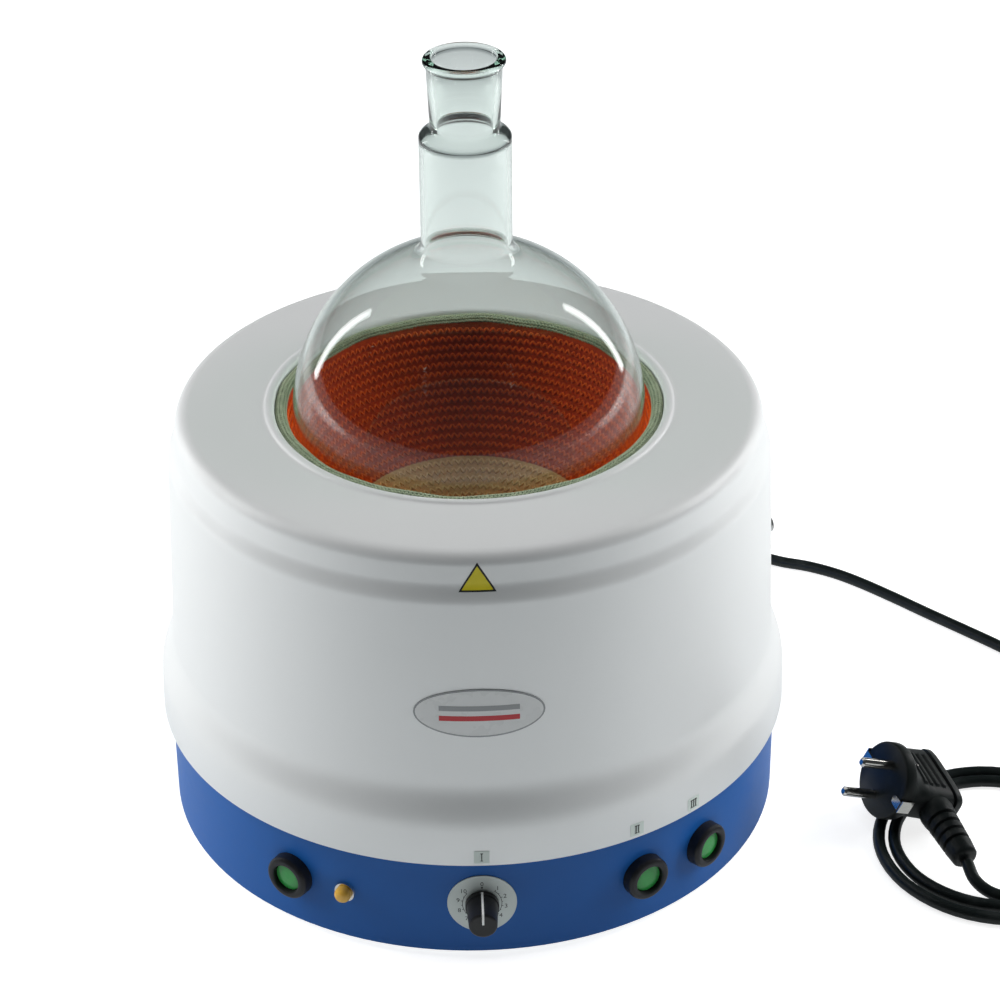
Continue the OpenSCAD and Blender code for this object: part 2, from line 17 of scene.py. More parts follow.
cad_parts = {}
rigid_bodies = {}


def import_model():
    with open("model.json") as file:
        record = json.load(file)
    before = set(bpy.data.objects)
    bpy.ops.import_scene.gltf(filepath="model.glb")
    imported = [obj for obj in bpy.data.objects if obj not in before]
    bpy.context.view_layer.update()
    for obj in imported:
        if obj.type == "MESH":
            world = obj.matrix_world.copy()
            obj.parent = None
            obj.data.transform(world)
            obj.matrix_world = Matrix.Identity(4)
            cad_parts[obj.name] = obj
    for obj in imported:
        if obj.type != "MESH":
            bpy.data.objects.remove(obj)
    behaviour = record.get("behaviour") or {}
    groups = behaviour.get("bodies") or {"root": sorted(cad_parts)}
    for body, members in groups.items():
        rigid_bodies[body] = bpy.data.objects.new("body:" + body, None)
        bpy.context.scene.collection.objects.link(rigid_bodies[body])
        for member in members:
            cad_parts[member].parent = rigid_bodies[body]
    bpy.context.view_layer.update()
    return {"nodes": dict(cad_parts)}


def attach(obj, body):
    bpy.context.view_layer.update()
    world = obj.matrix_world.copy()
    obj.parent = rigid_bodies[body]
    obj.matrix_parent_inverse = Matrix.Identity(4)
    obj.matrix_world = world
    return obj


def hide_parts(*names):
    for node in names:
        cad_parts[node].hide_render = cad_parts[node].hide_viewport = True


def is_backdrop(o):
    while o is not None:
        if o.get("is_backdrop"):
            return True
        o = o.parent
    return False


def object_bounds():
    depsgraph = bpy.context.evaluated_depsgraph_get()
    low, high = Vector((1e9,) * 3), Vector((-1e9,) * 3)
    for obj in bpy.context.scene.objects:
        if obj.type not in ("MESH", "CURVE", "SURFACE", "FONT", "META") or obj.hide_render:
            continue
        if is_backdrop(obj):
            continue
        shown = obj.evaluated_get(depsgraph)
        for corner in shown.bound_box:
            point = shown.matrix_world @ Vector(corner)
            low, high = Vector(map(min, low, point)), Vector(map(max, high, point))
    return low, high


LOG = logging.getLogger("mantle")
MM = 0.001
Point = tuple[float, ...]
Colour = tuple[float, float, float]


class Body(Enum):
    """The bodies of the frame that pieces ride on."""

    MANTLE = "mantle"
    FLASK = "flask"
    KNOB = "dial_knob"


# ---- Shader building ----


class Wire:
    """A node's output that shader maths is written with."""

    def __init__(self, graph: "Graph", socket: bpy.types.NodeSocket) -> None:
        """Wraps one output socket of a graph."""
        self.graph = graph
        self.socket = socket

    def _math(self, operation: str, *values: "Wire | float") -> "Wire":
        """Adds one Math node.

        Args:
            operation: the Math node's operation.
            values: its inputs in order.

        Returns:
            The node's output.
        """
        node = self.graph.node("ShaderNodeMath", {"operation": operation}, dict(enumerate(values)))
        return Wire(self.graph, node.outputs[0])

    def __add__(self, other: "Wire | float") -> "Wire":
        """Sum."""
        return self._math("ADD", self, other)

    __radd__ = __add__

    def __sub__(self, other: "Wire | float") -> "Wire":
        """Difference."""
        return self._math("SUBTRACT", self, other)

    def __rsub__(self, other: "Wire | float") -> "Wire":
        """Difference, the other way round."""
        return self._math("SUBTRACT", other, self)

    def __mul__(self, other: "Wire | float") -> "Wire":
        """Product."""
        return self._math("MULTIPLY", self, other)

    __rmul__ = __mul__

    def __gt__(self, other: "Wire | float") -> "Wire":
        """1 where this is the greater."""
        return self._math("GREATER_THAN", self, other)

    def eased(self, low: float, high: float) -> "Wire":
        """0 below low, 1 above high, and a smooth step between them."""
        node = self.graph.node(
            "ShaderNodeMapRange",
            {"interpolation_type": "SMOOTHSTEP"},
            {"Value": self, "From Min": low, "From Max": high},
        )
        return Wire(self.graph, node.outputs[0])


Input = Wire | bpy.types.NodeSocket | float | Point


class Graph:
    """The node tree of one material, with its Principled shader."""

    def __init__(self, name: str) -> None:
        """Makes an empty material with a Principled shader and an output."""
        self.material = bpy.data.materials.new(name)
        self.material.use_nodes = True
        self.tree = self.material.node_tree
        self.tree.nodes.clear()
        self.output = self.node("ShaderNodeOutputMaterial")
        self.shader = self.node("ShaderNodeBsdfPrincipled")
        self.tree.links.new(self.shader.outputs[0], self.output.inputs["Surface"])

    def node(self, kind: str, settings: dict | None = None, sockets: dict | None = None) -> bpy.types.Node:
        """Adds a node.

        Args:
            kind: the node's type.
            settings: its own settings.
            sockets: values or links of its inputs, by name or place.

        Returns:
            The new node.
        """
        made = self.tree.nodes.new(kind)
        for key, value in (settings or {}).items():
            setattr(made, key, value)
        for key, value in (sockets or {}).items():
            self.feed(made.inputs[key], value)
        return made

    def feed(self, target: bpy.types.NodeSocket, value: Input) -> None:
        """Links or sets one input socket."""
        if isinstance(value, Wire):
            value = value.socket
        if isinstance(value, bpy.types.NodeSocket):
            self.tree.links.new(value, target)
        elif isinstance(value, tuple) and target.type == "RGBA" and len(value) == 3:
            target.default_value = (*value, 1)
        else:
            target.default_value = value

    def surface(self, **values: Input) -> None:
        """Sets sockets of the Principled shader, with underscores for spaces."""
        for key, value in values.items():
            self.feed(self.shader.inputs[key.replace("_", " ")], value)

    def place(self) -> bpy.types.NodeSocket:
        """Where a point is in the frame, in metres, at rest."""
        return self.node("ShaderNodeTexCoord").outputs["Object"]

    def stretched(self, scale: Point, turn: Point = (0, 0, 0)) -> bpy.types.NodeSocket:
        """The place, turned and then scaled along each axis."""
        angles = {"Vector": self.place(), "Rotation": turn}
        turned = self.node("ShaderNodeVectorRotate", {"rotation_type": "EULER_XYZ"}, angles).outputs[0]
        return self.node("ShaderNodeVectorMath", {"operation": "MULTIPLY"}, {0: turned, 1: scale}).outputs[0]

    def noise(
        self, size: float, detail: float = 2, rough: float = 0.5, at: bpy.types.NodeSocket | None = None
    ) -> Wire:
        """Soft noise from 0 to 1.

        Args:
            size: its features' size in metres.
            detail: octaves.
            rough: weight of the finer octaves.
            at: coordinates, the place if left out.

        Returns:
            The noise.
        """
        values = {"Vector": at or self.place(), "Scale": 1 / size, "Detail": detail, "Roughness": rough}
        return Wire(self, self.node("ShaderNodeTexNoise", None, values).outputs[0])

    def cells(self, size: float, feature: str = "F1") -> Wire:
        """Cell noise with cells of that size in metres."""
        values = {"Vector": self.place(), "Scale": 1 / size}
        return Wire(self, self.node("ShaderNodeTexVoronoi", {"feature": feature}, values).outputs["Distance"])

    def mix(self, share: Wire | float, first: Colour | Wire, second: Colour | Wire) -> Wire:
        """Mixes two colours by share."""
        node = self.node("ShaderNodeMix", {"data_type": "RGBA"}, {0: share, 6: first, 7: second})
        return Wire(self, node.outputs[2])

    def switch(self, ray_kind: str, other: bpy.types.Node, hit: bpy.types.Node) -> bpy.types.Node:
        """Shows the shader hit to one kind of ray and the shader other to the rest."""
        ray = self.node("ShaderNodeLightPath").outputs[ray_kind]
        return self.node("ShaderNodeMixShader", None, {0: ray, 1: other.outputs[0], 2: hit.outputs[0]})

    def relief(self, height: Wire, depth: float, strength: float = 1.0) -> None:
        """Bumps the surface by a height from 0 to 1, depth metres deep."""
        bump = self.node("ShaderNodeBump", None, {"Height": height, "Distance": depth, "Strength": strength})
        self.surface(Normal=bump.outputs[0])


# ---- Finishes ----


def scaled(colour: Colour, share: float) -> Colour:
    """A colour made darker by a share."""
    return tuple(c * share for c in colour)


@dataclass(frozen=True)
class Finish:
    """A named surface finish that makes its material once."""

    name: str

    def material(self) -> bpy.types.Material:
        """The finish's material, made on first use."""
        found = bpy.data.materials.get(self.name)
        if found is None:
            graph = Graph(self.name)
            self.paint(graph)
            found = graph.material
        return found

    def paint(self, g: Graph) -> None:
        """Fills the graph; each finish has its own."""
        raise NotImplementedError


@dataclass(frozen=True)
class PowderCoat(Finish):
    """Fine-grained baked powder, slightly uneven in tone."""

    colour: Colour = (0.6, 0.635, 0.64)
    grain: float = 0.0011
    depth: float = 0.00009
    gloss: float = 0.42

    def paint(self, g: Graph) -> None:
        """Orange-peel grain with faint clouds of tone, and painted shade that darkens the pits of the grain.
        """
        clouds = g.noise(0.06, 3)
        grain = g.noise(self.grain, 3, 0.55)
        tone = g.mix(clouds, scaled(self.colour, 0.955), self.colour)
        # pits: painted shade, the grain's low points mixed a little towards a darker copy of the paint
        pits = grain.eased(0.62, 0.36)
        g.surface(Base_Color=g.mix(pits * 0.07, tone, scaled(self.colour, 0.72)))
        g.surface(Roughness=self.gloss + 0.1 * grain, Specular_IOR_Level=0.35)
        g.relief(grain, self.depth, 0.5)


@dataclass(frozen=True)
class Enamel(Finish):
    """Satin stoved enamel over rolled sheet."""

    colour: Colour = (0.012, 0.115, 0.42)

    def paint(self, g: Graph) -> None:
        """Very fine peel, a soft coat and faint handling marks."""
        peel = g.noise(0.0016, 2)
        marks = g.noise(0.035, 4, 0.65)
        g.surface(Base_Color=g.mix(marks, scaled(self.colour, 0.88), self.colour))
        g.surface(Roughness=0.36 + 0.14 * marks, Specular_IOR_Level=0.25)
        g.relief(peel, 0.00004, 0.4)


@dataclass(frozen=True)
class Metal(Finish):
    """Bare or plated metal with a grain of fine lines."""

    colour: Colour = (0.66, 0.67, 0.68)
    rough: float = 0.3
    grain: Point = (60, 60, 2600)
    spangle: float = 0.0

    def paint(self, g: Graph) -> None:
        """Fine drawn lines, faint stains and, on zinc, its crystals."""
        lines = g.noise(1.0, 2, 0.6, g.stretched(self.grain))
        stains = g.noise(0.018, 3)
        tone = g.mix(lines, scaled(self.colour, 0.8), self.colour)
        if self.spangle:
            crystals = g.cells(0.011)
            tone = g.mix(crystals * self.spangle, tone, scaled(self.colour, 0.7))
        g.surface(Base_Color=tone, Metallic=1.0, Roughness=self.rough + 0.16 * stains)
        g.relief(lines, 0.00002, 0.35)


@dataclass(frozen=True)
class Moulded(Finish):
    """Moulded plastic or rubber with a fine spark-eroded grain."""

    colour: Colour = (0.012, 0.012, 0.014)
    rough: float = 0.42
    grain: float = 0.0005
    depth: float = 0.00003
    dust: float = 0.05

    def paint(self, g: Graph) -> None:
        """Eroded grain, slightly greyer where it is handled."""
        grain = g.noise(self.grain, 2, 0.6)
        wear = g.noise(0.012, 4, 0.6).eased(0.45, 0.8)
        grey = tuple(min(1.0, c * 1.3 + self.dust * 0.25) for c in self.colour)
        g.surface(Base_Color=g.mix(wear, self.colour, grey))
        g.surface(Roughness=self.rough + 0.16 * wear, Specular_IOR_Level=0.35)
        g.relief(grain, self.depth, 0.5)


@dataclass(frozen=True)
class Lens(Finish):
    """Translucent coloured plastic, moulded with fine facets inside, with their glint painted into its
    colour.
    """

    colour: Colour = (0.003, 0.12, 0.002)
    painted_glint: Colour = (0.016, 0.36, 0.005)
    facet: float = 0.0012

    def paint(self, g: Graph) -> None:
        """Painted glint: the colour turns brighter in facet cells and soft clouds, under a smooth face."""
        facets = g.cells(self.facet)
        depth = g.noise(0.006, 2)
        # painted glint: facets and clouds mix the lens colour towards its brighter copy
        tone = g.mix((facets * 0.7 + depth * 0.5).eased(0.2, 0.9), self.colour, self.painted_glint)
        g.surface(Base_Color=tone, Roughness=0.16 + 0.1 * facets, Specular_IOR_Level=0.14)


@dataclass(frozen=True)
class Yarn(Finish):
    """Glass-fibre yarn, twisted, with a silky sheen."""

    colour: Colour = (0.78, 0.115, 0.018)
    deep: Colour = (0.38, 0.035, 0.005)
    fibre: float = 0.00035
    sheen: float = 0.08

    def paint(self, g: Graph) -> None:
        """Fibres along the yarn and a change of tone from stitch to stitch."""
        fibres = g.noise(self.fibre, 2, 0.7)
        stitches = g.noise(0.004, 1).eased(0.3, 0.7)
        tone = g.mix(fibres.eased(0.25, 0.6) * (0.62 + 0.38 * stitches), self.deep, self.colour)
        g.surface(Base_Color=tone, Roughness=0.5 + 0.25 * fibres)
        g.surface(Sheen_Weight=self.sheen, Sheen_Roughness=0.4)
        g.relief(fibres, 0.00012, 0.6)


@dataclass(frozen=True)
class Felt(Finish):
    """Needled mineral or ceramic fibre."""

    colour: Colour = (0.8, 0.77, 0.66)

    def paint(self, g: Graph) -> None:
        """Matted fibres with needle pits."""
        fibres = g.noise(0.0012, 5, 0.7)
        pits = g.cells(0.005)
        g.surface(Base_Color=g.mix(fibres, scaled(self.colour, 0.75), self.colour))
        g.surface(Roughness=0.95, Sheen_Weight=0.3)
        g.relief(fibres * 0.7 + pits * 0.3, 0.0006, 0.7)


@dataclass(frozen=True)
class Borosilicate(Finish):
    """Clear glass that turns green where light runs along it."""

    def paint(self, g: Graph) -> None:
        """Clear glass with a green depth, which lets lamp light fall through to the bowl."""
        g.surface(Base_Color=(0.98, 1.0, 0.99), Roughness=0.0, IOR=1.474, Transmission_Weight=1.0)
        clear = g.node("ShaderNodeBsdfTransparent", None, {"Color": (0.965, 0.98, 0.97)})
        mixed = g.switch("Is Shadow Ray", g.shader, clear)
        g.tree.links.new(mixed.outputs[0], g.output.inputs["Surface"])
        depth = g.node("ShaderNodeVolumeAbsorption", None, {"Color": (0.25, 0.66, 0.46), "Density": 24.0})
        g.tree.links.new(depth.outputs[0], g.output.inputs["Volume"])


@dataclass(frozen=True)
class Printed(Finish):
    """A printed or anodised flat face with a faint tooth."""

    colour: Colour = (0.55, 0.59, 0.58)
    metal: float = 0.0
    rough: float = 0.4

    def paint(self, g: Graph) -> None:
        """Even ink with a faint tooth and rubbed patches."""
        tooth = g.noise(0.0006, 2)
        rub = g.noise(0.008, 3)
        g.surface(Base_Color=g.mix(rub, scaled(self.colour, 0.92), self.colour))
        g.surface(Metallic=self.metal, Roughness=self.rough + 0.12 * rub)
        g.relief(tooth, 0.00001, 0.4)


@dataclass(frozen=True)
class Laminate(Finish):
    """Green circuit laminate with tracks under the mask."""

    def paint(self, g: Graph) -> None:
        """Tracks as steps of a blocky noise."""
        blocks = g.cells(0.006, "DISTANCE_TO_EDGE")
        tracks = blocks > 0.09
        g.surface(Base_Color=g.mix(tracks, (0.03, 0.2, 0.07), (0.015, 0.11, 0.04)))
        g.surface(Roughness=0.35)
        g.relief(1 - tracks, 0.00004, 0.6)


@dataclass(frozen=True)
class Bench(Finish):
    """The pale even floor that everything stands on."""

    def paint(self, g: Graph) -> None:
        """Matt pale paper, shown white to the eye as in an evenly lit light tent."""
        g.surface(Base_Color=(0.62, 0.63, 0.63), Roughness=0.9)
        glow = g.node("ShaderNodeEmission", None, {"Color": (1, 1, 1), "Strength": 0.8})
        dark = g.node("ShaderNodeEmission", None, {"Color": (0.9, 0.97, 1.0), "Strength": 0.27})
        seen = g.switch("Is Camera Ray", dark, glow)
        both = g.node("ShaderNodeAddShader", None, {0: g.shader.outputs[0], 1: seen.outputs[0]})
        g.tree.links.new(both.outputs[0], g.output.inputs["Surface"])


WALL = PowderCoat("pale_powder_coat")
BLUE = Enamel("blue_enamel")
ZINC = Metal("zinc_sheet", (0.62, 0.63, 0.65), 0.34, (40, 40, 40), 0.5)
SCREW = Metal("zinc_screw", (0.66, 0.66, 0.66), 0.24)
NICKEL = Metal("bright_nickel", (0.78, 0.76, 0.72), 0.1)
BRASS = Metal("turned_brass", (0.7, 0.5, 0.22), 0.2)
ALUMINIUM = Metal("spun_aluminium", (0.8, 0.81, 0.83), 0.26, (20, 20, 900))
WIRE = Metal("heating_conductor", (0.36, 0.3, 0.26), 0.45, (900, 900, 900))
BLACK = Moulded("moulded_black")
NUT_BLACK = Moulded("nylon_black", (0.02, 0.02, 0.022), 0.5)
KNOB = Moulded("knob_black", (0.01, 0.01, 0.011), 0.36)
PLUG = Moulded("plug_black", (0.005, 0.007, 0.007), 0.42, 0.0007, 0.00005)
SHEATH = Moulded("lead_sheath", (0.006, 0.009, 0.009), 0.36, 0.0009, 0.00003, 0.06)
RUBBER = Moulded("foot_rubber", (0.02, 0.02, 0.021), 0.7, 0.0009, 0.00008)
WHITE = Moulded("white_plastic", (0.74, 0.75, 0.72), 0.4, dust=0.0)
GREEN_LENS = Lens("green_lens")
AMBER_LENS = Lens("amber_lens", (0.3, 0.15, 0.002), (0.8, 0.55, 0.012), 0.0016)
# The ground finishes are darker copies of their yarns: painted shade in the gaps between and behind the
# stitches.
ORANGE_YARN = Yarn("orange_yarn", (0.98, 0.14, 0.012), (0.55, 0.05, 0.004))
SHADED_ORANGE_GROUND = Yarn("orange_ground_painted_shade", (0.62, 0.055, 0.006), (0.3, 0.02, 0.003))
TAN_YARN = Yarn("tan_yarn", (1.0, 0.6, 0.27), (0.8, 0.42, 0.17))
SHADED_TAN_GROUND = Yarn("tan_ground_painted_shade", (0.85, 0.43, 0.18), (0.55, 0.26, 0.1))
PALE_YARN = Yarn("pale_yarn", (0.44, 0.49, 0.34), (0.18, 0.24, 0.15))
SHADED_PALE_GROUND = Yarn("pale_ground_painted_shade", (0.14, 0.22, 0.16), (0.06, 0.1, 0.07))
FELT = Felt("ceramic_felt", (0.84, 0.84, 0.8))
WOOL = Felt("mineral_wool")
GLASS = Borosilicate("borosilicate")
DIAL = Printed("dial_plate", (0.6, 0.65, 0.63), 0.25, 0.38)
INK = Printed("black_ink", (0.015, 0.015, 0.017), 0.0, 0.5)
WHITE_INK = Printed("white_ink", (0.85, 0.86, 0.85), 0.0, 0.45)
LABEL = Printed("label_film", (0.72, 0.8, 0.76), 0.0, 0.3)
BADGE = Printed("badge_film", (0.86, 0.87, 0.87), 0.0, 0.22)
BADGE_RIM = Printed("badge_rim", (0.3, 0.31, 0.32), 0.3, 0.3)
RED_INK = Printed("red_ink", (0.62, 0.03, 0.04), 0.0, 0.3)
YELLOW_INK = Printed("yellow_ink", (0.85, 0.72, 0.02), 0.0, 0.35)
CERAMIC = Printed("terminal_ceramic", (0.8, 0.76, 0.64), 0.0, 0.6)
BOARD = Laminate("board_laminate")
FLOOR = Bench("bench_white")


# ---- Meshes ----


def add_object(name: str, data: bpy.types.ID) -> bpy.types.Object:
    """Puts data in the scene as an object."""
    made = bpy.data.objects.new(name, data)
    bpy.context.scene.collection.objects.link(made)
    return made


def prism(first: int, count: int) -> list[list[int]]:
    """Faces of a prism: its front ring starts at first, its back ring follows it."""
    front, back = range(first, first + count), range(first + count, first + 2 * count)
    sides = [[front[i], back[i], back[(i + 1) % count], front[(i + 1) % count]] for i in range(count)]
    return [list(front), list(reversed(back)), *sides]


def ribs(start: float, pitch: float, count: int, radius: Callable[[float], float], cut: Point) -> list[Point]:
    """Outline of the grooves of a flexing boot.

    Args:
        start: height of the first groove.
        pitch: distance between grooves.
        count: how many.
        radius: the boot's radius at a height.
        cut: a groove's depth, the heights of its floor's two ends and its top, and what its top edge loses.

    Returns:
        (radius, height) points in millimetres.
    """
    deep, near, far, top, loss = cut
    outline = []
    for k in range(count):
        low = start + k * pitch
        r = radius(low)
        outline += [(r, low), (r - deep, low + near), (r - deep, low + far), (r - loss, low + top)]
    return outline


def mesh_piece(
    name: str,
    points: np.ndarray | Sequence[Point],
    faces: Sequence[Sequence[int]],
    finish: Finish,
    sharp: float = 40,
) -> bpy.types.Object:
    """Makes a mesh object from points in metres.

    Args:
        name: the piece's name.
        points: its points in the frame.
        faces: its faces as point indices.
        finish: its first finish.
        sharp: the angle in degrees above which an edge stays sharp.

    Returns:
        The new object.
    """
    mesh = bpy.data.meshes.new(name)
    mesh.from_pydata([tuple(p) for p in points], [], [tuple(f) for f in faces])
    mesh.validate()
    mesh.shade_smooth()
    mesh.set_sharp_from_angle(angle=math.radians(sharp))
    mesh.materials.append(finish.material())
    return add_object(name, mesh)


def lathe(
    name: str, profile: Sequence[Point], finish: Finish, segments: int = 192, sharp: float = 40,
    shift: Callable[[float, int], Point] | None = None,
) -> bpy.types.Object:
    """Turns a closed profile about the Z axis.

    Args:
        name: the piece's name.
        profile: (radius, height) pairs in millimetres, a closed outline walked once.
        finish: its finish.
        segments: steps round the axis.
        sharp: the angle in degrees above which an edge stays sharp.
        shift: a change of radius and height at an angle, in millimetres, for each profile point.

    Returns:
        The new object.
    """
    points: list[Point] = []
    rows: list[list[int]] = []
    for k, (radius, height) in enumerate(profile):
        if radius < 1e-6:
            rows.append([len(points)] * segments)
            points.append((0, 0, height * MM))
            continue
        row = []
        for i in range(segments):
            angle = 2 * math.pi * i / segments
            dr, dz = shift(angle, k) if shift else (0.0, 0.0)
            row.append(len(points))
            r = (radius + dr) * MM
            points.append((r * math.cos(angle), r * math.sin(angle), (height + dz) * MM))
        rows.append(row)
    faces = []
    for k, row in enumerate(rows):
        following = rows[(k + 1) % len(rows)]
        for i in range(segments):
            j = (i + 1) % segments
            face = list(dict.fromkeys((row[i], row[j], following[j], following[i])))
            if len(face) > 2:
                faces.append(face)
    return mesh_piece(name, points, faces, finish, sharp)


def arc(centre: Point, radius: float, start: float, end: float, steps: int) -> list[Point]:
    """Points on an arc, angles in degrees, sizes in millimetres."""
    return [
        (
            centre[0] + radius * math.cos(math.radians(start + (end - start) * i / steps)),
            centre[1] + radius * math.sin(math.radians(start + (end - start) * i / steps)),
        )
        for i in range(steps + 1)
    ]


def s_bend(start: Point, end: Point, steps: int) -> list[Point]:
    """A smooth step from start to end, even in height."""
    return [
        (start[0] + (end[0] - start[0]) * (1 - math.cos(math.pi * i / steps)) / 2,
         start[1] + (end[1] - start[1]) * i / steps)
        for i in range(steps + 1)
    ]


def beside(path: Sequence[Point], gap: float) -> list[Point]:
    """A path moved sideways, to its right as it is walked."""
    moved = []
    for i, here in enumerate(path):
        a, b = path[max(i - 1, 0)], path[min(i + 1, len(path) - 1)]
        along = Vector((b[0] - a[0], b[1] - a[1])).normalized()
        moved.append((here[0] + gap * along.y, here[1] - gap * along.x))
    return moved


def smooth_line(points: Sequence[Point], steps: int) -> list[Vector]:
    """A Catmull-Rom line through points, with steps in each span."""
    p = [Vector(q) for q in points]
    p = [2 * p[0] - p[1], *p, 2 * p[-1] - p[-2]]
    line = []
    for a, b, c, d in zip(p, p[1:], p[2:], p[3:]):
        for i in range(steps):
            t = i / steps
            line.append(
                0.5 * (2 * b + (c - a) * t + (2 * a - 5 * b + 4 * c - d) * t**2
                       + (3 * b - a - 3 * c + d) * t**3)
            )
    return [*line, p[-2]]


def ride(piece: bpy.types.Object, body: Body, replaces: Iterable[str] = ()) -> None:
    """Puts a finished piece on its body and logs it.

    Args:
        piece: the piece, in place.
        body: the body that it moves with.
        replaces: frame nodes that it stands for.
    """
    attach(piece, body.value)
    if replaces:
        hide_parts(*replaces)
    LOG.info("%s rides on %s", piece.name, body.value)


def panel_matrix(azimuth: float, height: float, radius: float) -> Matrix:
    """Frame of a fitting on the round wall: +X right, +Y up, +Z out, in metres."""
    turn = Matrix.Rotation(math.radians(azimuth), 4, "Z")
    return turn @ Matrix.Translation((0, -radius * MM, height * MM)) @ Matrix.Rotation(math.pi / 2, 4, "X")


# ---- View ----


@dataclass
class Studio:
    """Camera, lights and floor."""

    eye: Point = (-0.0214, -1.2338, 0.8987)
    yaw: float = -1.65
    pitch: float = 30.974
    roll: float = -0.516
    lens: float = 108.0
    sensor: float = 36.0
    floor_half: float = 6.0
    aim: Point = (0, 0, 0.16)
    softboxes: tuple[tuple[str, Point, Point, float], ...] = (
        ("left_softbox", (-1.3, 0.22, 0.7), (0.55, 1.3), 18),
        ("right_softbox", (1.3, 0.22, 0.7), (0.55, 1.3), 18),
        ("top_softbox", (0, 0.1, 2.0), (1.6, 1.2), 10),
    )
    strips: tuple[tuple[str, Point], ...] = (
        ("left_strip", (-1.15, 0.75, 0.55)), ("right_strip", (1.15, 0.75, 0.55))
    )
    strip_aim: Point = (0, 0, 0.2)
    strip_size: Point = (0.12, 1.0)
    strip_watts: float = 2.2
    surround: Point = (0.9, 0.97, 1.0, 1)
    surround_strength: float = 0.05

    def camera(self) -> None:
        """Places the camera, looking down at the front."""
        data = bpy.data.cameras.new("camera")
        data.lens, data.sensor_width, data.sensor_fit = self.lens, self.sensor, "HORIZONTAL"
        data.clip_start, data.clip_end = 0.05, 50
        camera = add_object("camera", data)
        p, r = math.radians(self.pitch), math.radians(self.roll)
        back = Vector((0, -math.cos(p), math.sin(p)))
        right = Vector((1, 0, 0))
        up = back.cross(right)
        tilted = math.cos(r) * right + math.sin(r) * up
        risen = -math.sin(r) * right + math.cos(r) * up
        axes = Matrix((tilted, risen, back)).transposed().to_4x4()
        camera.matrix_world = (
            Matrix.Translation(self.eye) @ Matrix.Rotation(math.radians(self.yaw), 4, "Z") @ axes
        )
        bpy.context.scene.camera = camera

    def softbox(self, name: str, at: Point, aim: Point, size: Point, watts: float) -> bpy.types.Object:
        """Adds one rectangular softbox and returns it."""
        data = bpy.data.lights.new(name, "AREA")
        data.shape, data.size, data.size_y, data.energy = "RECTANGLE", size[0], size[1], watts
        light = add_object(name, data)
        light.location = at
        light.rotation_euler = (Vector(aim) - Vector(at)).to_track_quat("-Z", "Y").to_euler()
        return light

    def lights(self) -> None:
        """Three softboxes that show in no glass, two thin strips that do, and an even surround."""
        for name, at, size, watts in self.softboxes:
            light = self.softbox(name, at, self.aim, size, watts)
            light.visible_glossy = False
            light.visible_transmission = False
        for name, at in self.strips:
            self.softbox(name, at, self.strip_aim, self.strip_size, self.strip_watts)
        world = bpy.data.worlds.new("surround")
        bpy.context.scene.world = world
        world.use_nodes = True
        sky = world.node_tree.nodes["Background"]
        sky.inputs[0].default_value, sky.inputs[1].default_value = self.surround, self.surround_strength

    def floor(self) -> None:
        """The bench that the mantle and its lead stand on."""
        h = self.floor_half
        corners = [(-h, -h, 0), (h, -h, 0), (h, h, 0), (-h, h, 0)]
        mesh_piece("bench", corners, [(0, 1, 2, 3)], FLOOR)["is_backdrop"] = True

    def set_up(self) -> None:
        """Builds the view."""
        self.camera()
        self.lights()
        self.floor()
        bpy.context.scene.view_settings.view_transform = "Standard"
        LOG.info("camera, lights and floor are up")


# ---- Mains lead ----


@dataclass
class MainsLead:
    """The lead from the gland, round its coil, into the plug's boot."""

    diameter: float = 6.0
    length: float = 1.25
    centre: Point = (253.5, -77.0)
    lie: float = 3.0
    start: Point = (95.2, 164.9, 30.0)
    route: tuple[Point, ...] = (
        (96.5, 167.1, 30), (102, 176.6, 29.6), (109, 185.5, 27.5), (120, 192, 22.5), (134, 194.5, 16),
        (149, 193, 9), (163, 188.5, 4.8), (177, 183, 3.2), (191, 178, 3), (205, 170, 3), (218, 159.5, 3),
        (234, 144, 3), (250, 127.5, 3), (267, 110.5, 3), (285, 92, 3), (304, 70, 3), (323, 44, 3),
        (337, 15, 3), (345, -17, 3), (345, -51, 3), (335, -83, 3), (316, -109, 3), (287, -129, 3),
    )
    turn_steps: int = 12
    turns: tuple[float, ...] = (59, 58.5, 58, 54, 49.5, 51, 50.5, 47.5)
    plug_route: tuple[Point, ...] = (
        (291, -103.5, 3), (281, -113, 3), (268, -118.6, 3), (254, -120, 3), (243, -116.6, 3.6),
        (236, -109, 5.6), (233.4, -99.4, 9.1),
    )

    def coil(self) -> list[Point]:
        """The coil's turns, clockwise from above, starting nearest the front."""
        made = []
        for i in range((len(self.turns) - 1) * self.turn_steps // 4 + 1):
            quarter = i * 4 / self.turn_steps
            k = min(int(quarter), len(self.turns) - 2)
            t = quarter - k
            radius = self.turns[k] + (self.turns[k + 1] - self.turns[k]) * (3 * t * t - 2 * t**3)
            angle = math.radians(270 - 90 * quarter)
            x, y = radius * math.cos(angle), radius * math.sin(angle)
            made.append((self.centre[0] + x, self.centre[1] + y, self.lie))
        return made

    def build(self) -> bpy.types.Object:
        """Makes the lead as one curve.

        Returns:
            The curve object.
        """
        line = smooth_line([self.start, *self.route, *self.coil(), *self.plug_route], 5)
        data = bpy.data.curves.new("mains_lead", "CURVE")
        data.dimensions, data.bevel_depth, data.bevel_resolution = "3D", self.diameter / 2 * MM, 5
        data.use_fill_caps = True
        spline = data.splines.new("POLY")
        spline.points.add(len(line) - 1)
        for point, at in zip(spline.points, line):
            point.co = (*(at * MM), 1)
        spline.use_smooth = True
        data.materials.append(SHEATH.material())
        lead = add_object("mains_lead", data)
        measured = sum((b - a).length for a, b in zip(line, line[1:])) * MM
        LOG.info("mains_lead runs %.3f m", measured)
        ride(lead, Body.MANTLE, ("lead_tube", "lead_coil", "plug_lead"))
        return lead


